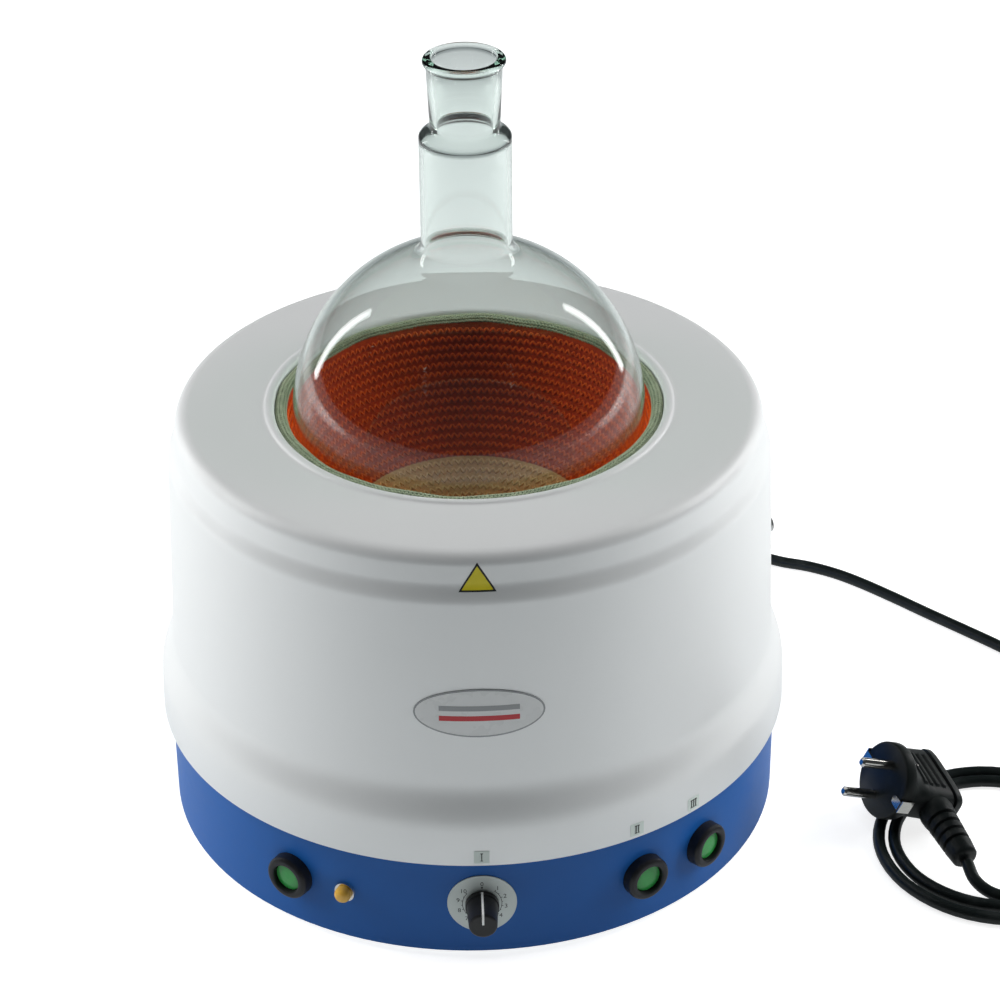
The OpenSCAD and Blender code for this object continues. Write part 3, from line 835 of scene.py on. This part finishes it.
@dataclass
class GlandBoot:
    """The tapered rubber strain relief on the cable gland."""

    azimuth: float = 150.0
    height: float = 30.0
    wall: float = 149.0
    start: float = 14.0
    length: float = 30.0
    root: float = 5.6
    tip: float = 3.9
    rings: int = 5
    plain: float = 4.0
    first_ring: float = 3.4
    groove: Point = (0.9, 0.4, 1.7, 2.1, 0.1)

    def build(self) -> None:
        """Turns the boot with its flexing rings."""
        def radius(at: float) -> float:
            """The boot's radius at a distance from the wall."""
            return self.root + (self.tip - self.root) * (at - self.start) / self.length

        profile = [(0.0, self.start), (self.root, self.start), (self.root + 0.2, self.start + 0.8)]
        pitch = (self.length - self.plain) / self.rings
        profile += ribs(self.start + self.first_ring, pitch, self.rings, radius, self.groove)
        end = self.start + self.length
        profile += [(self.tip, end - 0.6), (self.tip - 0.3, end), (0.0, end)]
        boot = lathe("gland_boot", profile, SHEATH, 64, 50)
        boot.data.transform(panel_matrix(self.azimuth, self.height, self.wall))
        ride(boot, Body.MANTLE, ("strain_relief",))


@dataclass
class MainsPlug:
    """The angled earthed plug: face disc, ribbed grip, clips and boot."""

    face: Point = (198.0, -56.0, 27.0)
    turn: Point = (67.0, 9.0, -72.0)
    steps: int = 120
    notch: float = 17.6
    notch_half: float = 3.9
    grip_half: float = 11.5
    rib_start: float = 12.5
    rib_end: float = 29.0
    rib_pitch: float = 4.1
    rib_depth: float = 1.0
    boot_at: Point = (22.0, 0.0, -22.0)
    boot_length: float = 31.0
    sections: tuple[Point, ...] = (
        (0, 17.8, 17.8, 2), (0.5, 18.6, 18.6, 2), (1.2, 19, 19, 2), (5.6, 19, 19, 2), (6.4, 18.8, 18.6, 2),
        (7.6, 18.2, 17.0, 2), (9.5, 18.3, 14.4, 2.2), (12, 18.8, 12.0, 2.7), (16, 19.3, 10.2, 3.6),
        (20, 19.6, 9.4, 4.6), (30.2, 19.8, 9.0, 5), (30.5, 18.8, 8.0, 5), (31.6, 18.8, 8.0, 5),
        (31.9, 20.2, 9.5, 5), (34.8, 20.2, 9.5, 5), (35.7, 19.7, 9.0, 5), (36.1, 18.8, 8.2, 5),
    )

    def matrix(self) -> Matrix:
        """The plug's frame: +Z along the pins, +X towards the lead."""
        x, y, z = (Matrix.Rotation(math.radians(a), 4, k) for a, k in zip(self.turn, "XYZ"))
        return Matrix.Translation(Vector(self.face) * MM) @ z @ y @ x

    def ring(self, depth: float) -> list[Point]:
        """The body's outline at a depth behind the face, in millimetres."""
        depths = [s[0] for s in self.sections]
        columns = list(zip(*self.sections))[1:]
        across, up, power = (float(np.interp(depth, depths, column)) for column in columns)
        rib = 0.0
        if self.rib_start < depth < self.rib_end:
            rib = 0.5 - 0.5 * math.tanh(3 * math.cos(2 * math.pi * (depth - self.rib_start) / self.rib_pitch))
        ring = []
        for i in range(self.steps):
            angle = 2 * math.pi * i / self.steps
            c, s = math.cos(angle), math.sin(angle)
            x = math.copysign(abs(c) ** (2 / power), c) * across
            y = math.copysign(abs(s) ** (2 / power), s) * up
            if depth < 6 and abs(y) < self.notch_half:
                x = math.copysign(min(abs(x), self.notch), x)
            if abs(x) < self.grip_half:
                y += math.copysign(self.rib_depth * rib, y)
            ring.append((x, y, -depth))
        return ring

    def body(self) -> bpy.types.Object:
        """Lofts the body back from its face."""
        depths = sorted({s[0] for s in self.sections} | {self.rib_start + 0.35 * k for k in range(48)})
        points = [p for d in depths for p in self.ring(d)]
        faces: list[Sequence[int]] = [list(range(self.steps))]
        for k in range(len(depths) - 1):
            for i in range(self.steps):
                j = (i + 1) % self.steps
                a, b = k * self.steps, (k + 1) * self.steps
                faces.append([a + j, a + i, b + i, b + j])
        faces.append([len(points) - 1 - i for i in range(self.steps)])
        return mesh_piece("plug_shell", np.array(points) * MM, faces, PLUG, 40)

    def boot(self) -> bpy.types.Object:
        """Turns the grooved boot that the lead leaves by."""
        profile = [(0.0, -4.0), (8.2, -4.0), (8.6, -1.0), (8.4, 2.4)]
        end = self.boot_length
        profile += ribs(4.6, 5.2, 4, lambda at: 8.2 - 1.6 * at / end, (1.5, 0.4, 1.8, 2.2, 0.1))
        profile += [(6.5, end - 3), (6.3, end - 1.2), (5.6, end - 0.3), (4.6, end), (0.0, end)]
        boot = lathe("plug_boot_ribbed", profile, PLUG, 72, 50)
        at = Matrix.Translation(Vector(self.boot_at) * MM) @ Matrix.Rotation(math.pi / 2, 4, "Y")
        boot.data.transform(at)
        return boot

    def tabs(self) -> bpy.types.Object:
        """The earth clips' ends, folded over the face."""
        points, faces = [], []
        for side in (-1, 1):
            outline = [*arc((14.6, 0), 2.4, 90, 270, 12), (18.6, -2.4), (18.6, 2.4)]
            first, n = len(points), len(outline)
            for z in (0.55, -0.3):
                points += [(side * x, y * side, z) for x, y in outline]
            faces += prism(first, n)
        return mesh_piece("plug_clip_ends", np.array(points) * MM, faces, NICKEL, 30)

    def build(self) -> list[bpy.types.Object]:
        """Makes the plug's pieces and returns them."""
        at = self.matrix()
        body, boot, tabs = self.body(), self.boot(), self.tabs()
        for piece in (body, boot, tabs):
            piece.data.transform(at)
        ride(body, Body.MANTLE, ("plug_body",))
        ride(boot, Body.MANTLE, ("plug_boot",))
        ride(tabs, Body.MANTLE)
        return [body, boot, tabs]


# ---- Housing ----


@dataclass
class Housing:
    """The one-piece spun housing with its rolled lip."""

    opening: float = 91.5
    plate: float = 213.5
    sheet: float = 1.5
    skirt: float = 153.0
    skirt_height: float = 56.5

    def outline(self) -> list[Point]:
        """Outer outline from inside the lip out over the plate and down, in millimetres."""
        return [
            (self.opening, self.plate - 10),
            (self.opening, self.plate - 6),
            *arc((self.opening + 2.75, self.plate - 1.5), 2.75, 180, 40, 14),
            (97.0, self.plate + 0.02),
            (98.4, self.plate),
            (110, self.plate), (121, self.plate),
            *arc((131.5, self.plate - 7), 7, 90, 0, 16),
            *s_bend((139.3, self.plate - 13), (142.6, self.plate - 24), 18),
            (143.51, 165), (144.63, 135),
            *s_bend((146, 98), (self.skirt - 0.5, 74), 22),
            (self.skirt, self.skirt_height + 0.3),
            (self.skirt - 0.1, self.skirt_height),
        ]

    def radius(self, height: float) -> float:
        """The wall's outer radius at a height, in millimetres."""
        side = [p for p in self.outline() if p[0] > self.opening + 40][::-1]
        return float(np.interp(height, [p[1] for p in side], [p[0] for p in side]))

    def build(self) -> None:
        """Turns the housing from its outline."""
        outer = self.outline()
        inner = beside(outer, self.sheet)
        shell = lathe("housing", [*outer, *reversed(inner)], WALL, 256, 50)
        ride(shell, Body.MANTLE, ("housing_shell",))


# ---- Heated bowl ----


@dataclass
class HeatedBowl:
    """The knitted heating bowl and the glass-tape collar round its top."""

    radius: float = 84.8
    centre: float = 211.0
    thick: float = 3.0
    pale_radius: float = 58.0
    row_pitch: float = 4.5
    stitch_pitch: float = 3.3
    stitch: Point = (0.7, 2.0, 0.75)
    lean: float = 32.0
    collar_stitch: Point = (0.48, 0.95, 0.5)
    collar_lean: float = 35.0
    collar_pitch: float = 1.9
    collar_rows: tuple[Point, ...] = (
        (86.1, 210.9, 75), (86.9, 212.3, 50), (88.2, 212.9, 12), (89.6, 212.8, -8), (90.6, 212.1, -35)
    )
    collar_in: float = 85.4
    collar_out: float = 91.2

    def lobe(self, around: int = 6, along: int = 4) -> tuple[np.ndarray, list[tuple[int, ...]]]:
        """One unit yarn lobe: X across, Y along, Z out.

        Args:
            around: points round it.
            along: steps along it.

        Returns:
            Its points and faces.
        """
        points = [(0.0, -1.0, 0.0)]
        for j in range(1, along):
            a = math.pi * j / along
            for i in range(around):
                b = 2 * math.pi * i / around
                points.append((math.sin(a) * math.cos(b), -math.cos(a), math.sin(a) * math.sin(b)))
        points.append((0.0, 1.0, 0.0))
        faces: list[tuple[int, ...]] = []
        for i in range(around):
            n = (i + 1) % around
            faces.append((0, 1 + n, 1 + i))
            for j in range(along - 2):
                a, b = 1 + j * around, 1 + (j + 1) * around
                faces.append((a + i, a + n, b + n, b + i))
            last = 1 + (along - 2) * around
            faces.append((last + i, last + n, len(points) - 1))
        return np.array(points), faces

    def stitches(
        self, name: str, spots: list[tuple[Vector, Vector, Vector]], size: Point, lean: float, finish: Finish
    ) -> bpy.types.Object:
        """Copies a pair of leaning lobes to every spot as one mesh.

        Args:
            name: the piece's name.
            spots: centre, across and outward directions of each stitch, in millimetres.
            size: half sizes of a lobe across, along and out, in millimetres.
            lean: degrees that each lobe leans from the row's upright.
            finish: the yarn.

        Returns:
            The new object.
        """
        unit, faces = self.lobe()
        shape = unit * np.array(size)
        all_points, all_faces = [], []
        rng = np.random.default_rng(7)
        for middle, across, out in spots:
            up = out.cross(across)
            basis = np.array([across, up, out])
            for side in (-1, 1):
                angle = math.radians(side * (lean + rng.uniform(-6, 6)))
                c, s = math.cos(angle), math.sin(angle)
                turned = shape @ np.array([[c, -s, 0], [s, c, 0], [0, 0, 1]])
                aside = side * size[1] * math.sin(math.radians(lean)) * 0.9
                offset = np.array([aside, rng.uniform(-0.15, 0.15), 0])
                placed = (turned + offset) @ basis + np.array(middle)
                base = len(all_points) * len(unit)
                all_faces.extend(tuple(k + base for k in f) for f in faces)
                all_points.append(placed)
        return mesh_piece(name, np.concatenate(all_points) * MM, all_faces, finish, 180)

    def bowl_spots(self, low: float, high: float, sink: float) -> list[tuple[Vector, Vector, Vector]]:
        """Stitch places on the inside of the bowl.

        Args:
            low: the lowest row's radius from the axis, in millimetres.
            high: the highest row's angle from the bottom, in degrees.
            sink: how far a stitch's middle lies behind the bowl's face.

        Returns:
            Centre, across and outward directions of each.
        """
        spots = []
        step = self.row_pitch / self.radius
        rows = int(math.radians(high) / step)
        for k in range(rows + 1):
            angle = step * (k + 0.5)
            ring = self.radius * math.sin(angle)
            if ring < low or angle > math.radians(high):
                continue
            count = max(5, round(2 * math.pi * ring / self.stitch_pitch))
            for i in range(count):
                turn = 2 * math.pi * (i + 0.5 * (k % 2)) / count
                x, y = (math.sin(angle) * f(turn) for f in (math.cos, math.sin))
                radial = Vector((x, y, -math.cos(angle)))
                middle = Vector((0, 0, self.centre)) + radial * (self.radius + sink)
                spots.append((middle, Vector((-math.sin(turn), math.cos(turn), 0)), -radial))
        return spots

    def ground(self, name: str, start: float, end: float, finish: Finish) -> bpy.types.Object:
        """The cloth behind the stitches, between two angles from the bottom, in degrees."""
        steps = max(12, int(abs(end - start) / 1.5))
        gap = 1.15
        inner = arc((0, self.centre), self.radius + gap, start - 90, end - 90, steps)
        outer = arc((0, self.centre), self.radius + self.thick, end - 90, start - 90, steps)
        profile = [(max(r, 0.0), z) for r, z in inner + outer]
        return lathe(name, profile, finish, 192, 60)

    def build_bowl(self) -> None:
        """Both zones of the bowl, cloth and stitches."""
        edge = math.degrees(math.asin(self.pale_radius / self.radius))
        # the ground cloths carry painted shade: darker copies of the yarns, showing in the gaps between
        # stitches
        outer = self.ground("bowl_cloth", edge, 89.5, SHADED_ORANGE_GROUND)
        ride(outer, Body.MANTLE, ("bowl_fabric",))
        centre = self.ground("centre_cloth", 0, edge - 0.05, SHADED_TAN_GROUND)
        ride(centre, Body.MANTLE, ("bowl_centre_fabric",))
        spots = self.bowl_spots(0, 89, 0.95)
        for name, slot, yarn, inside in (
            ("bowl_stitches", "bowl_cloth", ORANGE_YARN, False),
            ("centre_stitches", "centre_cloth", TAN_YARN, True),
        ):
            zone = [s for s in spots if (math.hypot(s[0].x, s[0].y) < self.pale_radius) == inside]
            ride(self.stitches(name, zone, self.stitch, self.lean, yarn), Body.MANTLE)

    def build_collar(self) -> None:
        """The pale woven tape that closes the gap between bowl and lip."""
        def wave(angle: float, _point: int) -> Point:
            """Gathers of the tape."""
            ripple = 0.35 * math.sin(9 * angle + 0.6) + 0.25 * math.sin(17 * angle + 2.1)
            return (0.0, ripple)

        inner, outer = self.collar_in, self.collar_out
        profile = [
            (inner + 1.4, 204.5), (inner + 0.9, 210.2), (inner + 1.3, 212.0), (inner + 2.6, 212.7),
            (outer - 1.2, 212.4), (outer, 211.2), (outer, 204.5),
        ]
        # the tape's finish is a darker copy of the pale yarn: painted shade between the stitches and in the
        # gap under the lip
        tape = lathe("collar_tape", profile, SHADED_PALE_GROUND, 256, 70, wave)
        ride(tape, Body.MANTLE, ("fabric_collar",))
        spots = []
        for k, (ring, height, tilt) in enumerate(self.collar_rows):
            count = round(2 * math.pi * ring / self.collar_pitch)
            for i in range(count):
                turn = 2 * math.pi * (i + 0.5 * (k % 2)) / count
                dz = wave(turn, 0)[1]
                t = math.radians(tilt)
                out = Vector((-math.sin(t) * math.cos(turn), -math.sin(t) * math.sin(turn), math.cos(t)))
                middle = Vector((ring * math.cos(turn), ring * math.sin(turn), height + dz - 0.15))
                spots.append((middle, Vector((-math.sin(turn), math.cos(turn), 0)), out))
        yarn = self.stitches("collar_stitches", spots, self.collar_stitch, self.collar_lean, PALE_YARN)
        ride(yarn, Body.MANTLE)


# ---- Flask ----


@dataclass
class Flask:
    """The blown flask with its ground socket."""

    bulb: float = 83.0
    bulb_height: float = 209.5
    neck: float = 21.0
    rim: float = 386.0
    wall: float = 2.0
    shoulder: float = 9.0

    def profile(self) -> list[Point]:
        """Outside then inside of the glass, in millimetres."""
        socket = self.rim - 33
        reach = self.neck + self.shoulder
        join = math.degrees(math.asin(reach / (self.bulb + self.shoulder)))
        middle = self.bulb_height + (self.bulb + self.shoulder) * math.cos(math.radians(join))
        hub = (0.0, self.bulb_height)
        outside = [
            *arc(hub, self.bulb, -90, 90 - join, 110),
            *arc((reach, middle), self.shoulder, 270 - join, 180, 16)[1:],
            (self.neck, (middle + socket) / 2),
            *s_bend((self.neck, socket - 5), (15.9, socket + 1), 12),
            (16.6, self.rim - 16), (17.2, self.rim - 4.4),
            *arc((17.0, self.rim - 1.7), 1.7, -55, 90, 12),
        ]
        inside = [
            *arc((15.2, self.rim - 0.6), 0.6, 90, 180, 4),
            (13.8, self.rim - 16), (13.0, socket),
            *s_bend((13.0, socket - 1), (self.neck - self.wall, socket - 8), 12),
            (self.neck - self.wall, (middle + socket) / 2),
            *arc((reach, middle), self.shoulder + self.wall, 180, 270 - join, 16),
            *arc(hub, self.bulb - self.wall, 90 - join, -90, 110)[1:],
        ]
        return [(max(r, 0.0), z) for r, z in outside + inside]

    def build(self) -> None:
        """Blows the glass."""
        glass = lathe("flask_glass", self.profile(), GLASS, 256, 60)
        ride(glass, Body.FLASK, ("flask_bulb", "flask_neck"))


# ---- Front panel ----


@dataclass
class Panel:
    """The dial's numbers and knob line, zone numbers, badge and heat sign."""

    wall: float = 149.0
    dial_height: float = 32.0
    plate_out: float = 0.6
    number_orbit: float = 11.2
    first_number: float = 40.0
    number_step: float = 30.0
    numeral_gap: float = 1.35
    badge_half: Point = (29.5, 12.5)
    badge_height: float = 135.0
    film_cells: tuple[int, int] = (24, 24)
    sign: Point = (196.0, 209.4, 8.2)
    bite: float = 0.05
    line_half: float = 0.5
    line_path: tuple[Point, ...] = (
        (7.85, 2.2), (7.85, 3.7), (7.4, 4.5), (6.72, 15.9), (6.4, 16.9), (5.7, 17.38), (1.0, 17.38)
    )
    zone_azimuths: tuple[float, ...] = (0, 28, 40.5)
    zone_height: float = 61.3
    zone_wall: float = 153.0
    arc_steps: int = 60
    arc_radii: Point = (8.95, 9.2)

    def on_wall(self, azimuth: float, height: float, radius: float, x: float, y: float) -> Point:
        """A flat mark's point wrapped on the wall, in metres."""
        angle = math.radians(azimuth) + x / radius
        return (radius * math.sin(angle) * MM, -radius * math.cos(angle) * MM, (height + y) * MM)

    def mark(
        self, name: str, outlines: Sequence[Sequence[Point]], azimuth: float, height: float,
        radius: Callable[[float], float], finish: Finish, thick: float = 0.06,
    ) -> bpy.types.Object:
        """Prints filled outlines on the wall as thin raised ink.

        Args:
            name: the piece's name.
            outlines: convex outlines, (right, up) in millimetres.
            azimuth: where their origin is round the wall, in degrees.
            height: where it is in height.
            radius: gives the wall's radius at a height.
            finish: the ink.
            thick: how far it stands proud.

        Returns:
            The new object.
        """
        points: list[Point] = []
        faces: list[Sequence[int]] = []
        for outline in outlines:
            n, first = len(outline), len(points)
            for lift in (thick, -self.bite):
                points += [self.on_wall(azimuth, height, radius(height + y) + lift, x, y) for x, y in outline]
            faces += prism(first, n)
        return mesh_piece(name, points, faces, finish, 30)

    def bar(self, x: float, y: float, width: float, height: float, turn: float = 0.0) -> list[Point]:
        """A rectangle's outline about (x, y), turned clockwise by degrees."""
        c, s = math.cos(math.radians(-turn)), math.sin(math.radians(-turn))
        a, b = width / 2, height / 2
        return [(x + p * c - q * s, y + p * s + q * c) for p, q in ((-a, -b), (a, -b), (a, b), (-a, b))]

    def clock(self, orbit: float, degrees: float) -> Point:
        """A point on the dial, clockwise from the top."""
        return (orbit * math.sin(math.radians(degrees)), orbit * math.cos(math.radians(degrees)))

    def text(self, words: str, size: float) -> tuple[list[Point], list[list[int]]]:
        """Flat letters as a mesh.

        Args:
            words: what to write.
            size: letter height in millimetres.

        Returns:
            Points (right, up) centred on the origin, and faces.
        """
        data = bpy.data.curves.new("letters", "FONT")
        data.body, data.size, data.align_x, data.align_y = words, size * 1.42, "CENTER", "CENTER"
        data.resolution_u = 3
        letters = bpy.data.objects.new("letters", data)
        flat = bpy.data.meshes.new_from_object(letters)
        points = [(v.co.x, v.co.y) for v in flat.vertices]
        faces = [list(p.vertices) for p in flat.polygons]
        bpy.data.objects.remove(letters)
        bpy.data.curves.remove(data)
        bpy.data.meshes.remove(flat)
        return points, faces

    def numbers(self) -> None:
        """0 to 10 round the dial, with its arc and ticks."""
        radius = self.wall + self.plate_out
        points: list[Point] = []
        faces: list[list[int]] = []
        for n in range(11):
            where = 0.0 if n == 0 else self.first_number + self.number_step * (n - 1)
            x, y = self.clock(self.number_orbit, where)
            flat, joined = self.text(str(n), 2.3)
            first = len(points)
            points += [self.on_wall(0, self.dial_height, radius + 0.05, x + a, y + b) for a, b in flat]
            faces += [[first + i for i in f] for f in joined]
        digits = mesh_piece("dial_numbers", points, faces, INK, 30)
        ride(digits, Body.MANTLE)
        outlines = []
        sweep = self.number_step * 9
        near, far = self.arc_radii
        for i in range(self.arc_steps):
            a, b = (self.first_number + sweep * k / self.arc_steps for k in (i, i + 1))
            outlines.append([self.clock(r, t) for r, t in ((far, a), (far, b), (near, b), (near, a))])
        for n in range(19):
            where = self.first_number + self.number_step * n / 2
            x, y = self.clock(9.3 if n % 2 else 9.4, where)
            outlines.append(self.bar(x, y, 0.24, 0.6 if n % 2 else 1.0, where))
        outlines.append([(-0.55, 9.7), (0, 8.3), (0.55, 9.7)])
        ride(self.mark("dial_scale", outlines, 0, self.dial_height, lambda _height: radius, INK), Body.MANTLE)

    def knob_line(self) -> None:
        """The white line down the knob's side and over its face."""
        at = panel_matrix(0, self.dial_height, self.wall)
        points, faces = [], []
        for k, (up, out) in enumerate(self.line_path):
            for side in (-self.line_half, self.line_half):
                points.append(at @ (Vector((side, up, out)) * MM))
            if k:
                a = 2 * k
                faces.append((a - 2, a - 1, a + 1, a))
        line = mesh_piece("knob_line", [tuple(p) for p in points], faces, WHITE_INK, 80)
        thick = line.modifiers.new("thick", "SOLIDIFY")
        thick.thickness = 0.00025
        thick.offset = 0
        ride(line, Body.KNOB)

    def labels(self) -> None:
        """Roman numbers of the zones on their labels."""
        for count, azimuth in enumerate(self.zone_azimuths, 1):
            outlines = []
            for i in range(count):
                x = (i - (count - 1) / 2) * self.numeral_gap
                outlines.append(self.bar(x, 0, 0.42, 4.0))
                outlines += [self.bar(x, y, 1.15, 0.3) for y in (2.0, -2.0)]
            name, height = f"zone_number_{count}", self.zone_height
            numeral = self.mark(name, outlines, azimuth, height, lambda _height: self.zone_wall, INK, 0.2)
            ride(numeral, Body.MANTLE)

    def film(
        self, name: str, half: Callable[[float], float], low: float, high: float,
        wall: Callable[[float], float], finish: Finish, thick: float,
    ) -> bpy.types.Object:
        """A thin printed patch on the front, bent to the wall both ways.

        Args:
            name: the piece's name.
            half: its half width in millimetres at a share of its height from -1 to 1.
            low: its lowest height.
            high: its highest height.
            wall: gives the wall's radius at a height.
            finish: its finish.
            thick: how far it stands proud.

        Returns:
            The new object.
        """
        rows, columns = self.film_cells
        n = columns + 1
        points: list[Point] = []
        for lift in (thick, -self.bite):
            for i in range(rows + 1):
                share = -math.cos(math.pi * i / rows)
                z = (low + high) / 2 + (high - low) / 2 * share
                for j in range(n):
                    x = (half(share) + 0.05) * (2 * j / columns - 1)
                    points.append(self.on_wall(0, 0, wall(z) + lift, x, z))
        back = n * (rows + 1)
        faces: list[Sequence[int]] = []
        for i in range(rows):
            for j in range(columns):
                k = i * n + j
                faces.append([k, k + 1, k + n + 1, k + n])
                faces.append([back + k, back + k + n, back + k + n + 1, back + k + 1])
        edge = [*range(n), *(i * n + columns for i in range(1, rows + 1))]
        edge += [rows * n + j for j in range(columns - 1, -1, -1)]
        edge += [i * n for i in range(rows - 1, 0, -1)]
        for k, a in enumerate(edge):
            b = edge[(k + 1) % len(edge)]
            faces.append([a, back + a, back + b, b])
        return mesh_piece(name, points, faces, finish, 30)

    def badge(self, wall: Callable[[float], float]) -> None:
        """The plain oval badge: a rim, a pale face and two stripes."""
        across, up = self.badge_half
        z = self.badge_height
        plates = (("badge_rim", 0.0, BADGE_RIM, 0.4), ("badge_face", 0.8, BADGE, 0.46))
        for name, inset, finish, thick in plates:
            wide, tall = across - inset, up - inset

            def half(share: float, wide: float = wide) -> float:
                """The oval's half width."""
                return wide * math.sqrt(max(0.0, 1 - share * share))

            plate = self.film(name, half, z - tall, z + tall, wall, finish, thick)
            ride(plate, Body.MANTLE, ("badge",))
        for name, y, ink in (("badge_stripe_upper", 2.6, BADGE_RIM), ("badge_stripe_lower", -2.6, RED_INK)):
            stripe = self.film(name, lambda _share: 18.0, z + y - 1.3, z + y + 1.3, wall, ink, 0.5)
            ride(stripe, Body.MANTLE)

    def heat_sign(self, wall: Callable[[float], float]) -> None:
        """A plain yellow triangle on the shoulder, over a black one that shows as its edge."""
        low, high, half = self.sign
        for name, inset, ink, thick in (("sign_edge", 0.0, INK, 0.1), ("sign_face", 0.8, YELLOW_INK, 0.16)):
            wide = half - 1.75 * inset

            def sloped(share: float, wide: float = wide) -> float:
                """The triangle's half width."""
                return wide * (1 - share) / 2

            ride(self.film(name, sloped, low + inset, high - 2 * inset, wall, ink, thick), Body.MANTLE)


# ---- The frame's own parts ----


@dataclass
class FrameParts:
    """Finishes of the nodes that stay as they are."""

    finishes: tuple[tuple[Finish, str], ...] = (
        (BLUE, "base_ring"), (WALL, "rod_clamp"), (DIAL, "dial_plate"), (KNOB, "knob"), (BRASS, "clamp_pad"),
        (ZINC, "base_plate bulkhead housing_brackets support_ring support_posts pot_body"),
        (SCREW, "foot_screws plate_screws post_screws clamp_bolts clamp_screw"),
        (NICKEL, "pilot_bezel pot_shaft pot_nut plug_pins plug_earth_clips"),
        (ALUMINIUM, "bowl_cup heat_sink"), (WIRE, "heater_zone_1 heater_zone_2 heater_zone_3"),
        (BLACK, "switch_bezel_1 switch_bezel_2 switch_bezel_3 switch_bodies"),
        (GREEN_LENS, "switch_button_1 switch_button_2 switch_button_3"), (AMBER_LENS, "pilot_lens"),
        (NUT_BLACK, "switch_nuts cable_gland gland_nut"), (RUBBER, "rubber_feet"),
        (WHITE, "pilot_body board_spacers"), (WHITE_INK, "knob_pointer"), (LABEL, "zone_labels"),
        (FELT, "rim_gasket lead_sleeve"), (WOOL, "insulation_blanket"), (BOARD, "control_board"),
        (CERAMIC, "terminal_block"),
    )

    def dress(self, nodes: dict[str, bpy.types.Object]) -> None:
        """Gives every node its finish."""
        for finish, names in self.finishes:
            for name in names.split():
                materials = nodes[name].data.materials
                materials.clear()
                materials.append(finish.material())
            LOG.info("%s dresses %s", finish.name, names)


def corners() -> list[list[float]]:
    """The shown object's lowest and highest corners as plain lists."""
    return [[float(c) for c in corner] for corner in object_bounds()]


def main() -> None:
    """Builds the whole scene in order."""
    logging.basicConfig(level=logging.INFO, format="%(message)s", stream=sys.stdout)
    for thing in list(bpy.data.objects):
        bpy.data.objects.remove(thing)
    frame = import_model()
    Studio().set_up()
    lead = MainsLead()
    flex = lead.build()
    FrameParts().dress(frame["nodes"])
    GlandBoot().build()
    plug = MainsPlug().build()
    housing = Housing()
    housing.build()
    bowl = HeatedBowl()
    bowl.build_bowl()
    bowl.build_collar()
    Flask().build()
    panel = Panel()
    panel.numbers()
    panel.knob_line()
    panel.labels()
    panel.badge(housing.radius)
    panel.heat_sign(housing.radius)


if __name__ == "__main__":
    main()
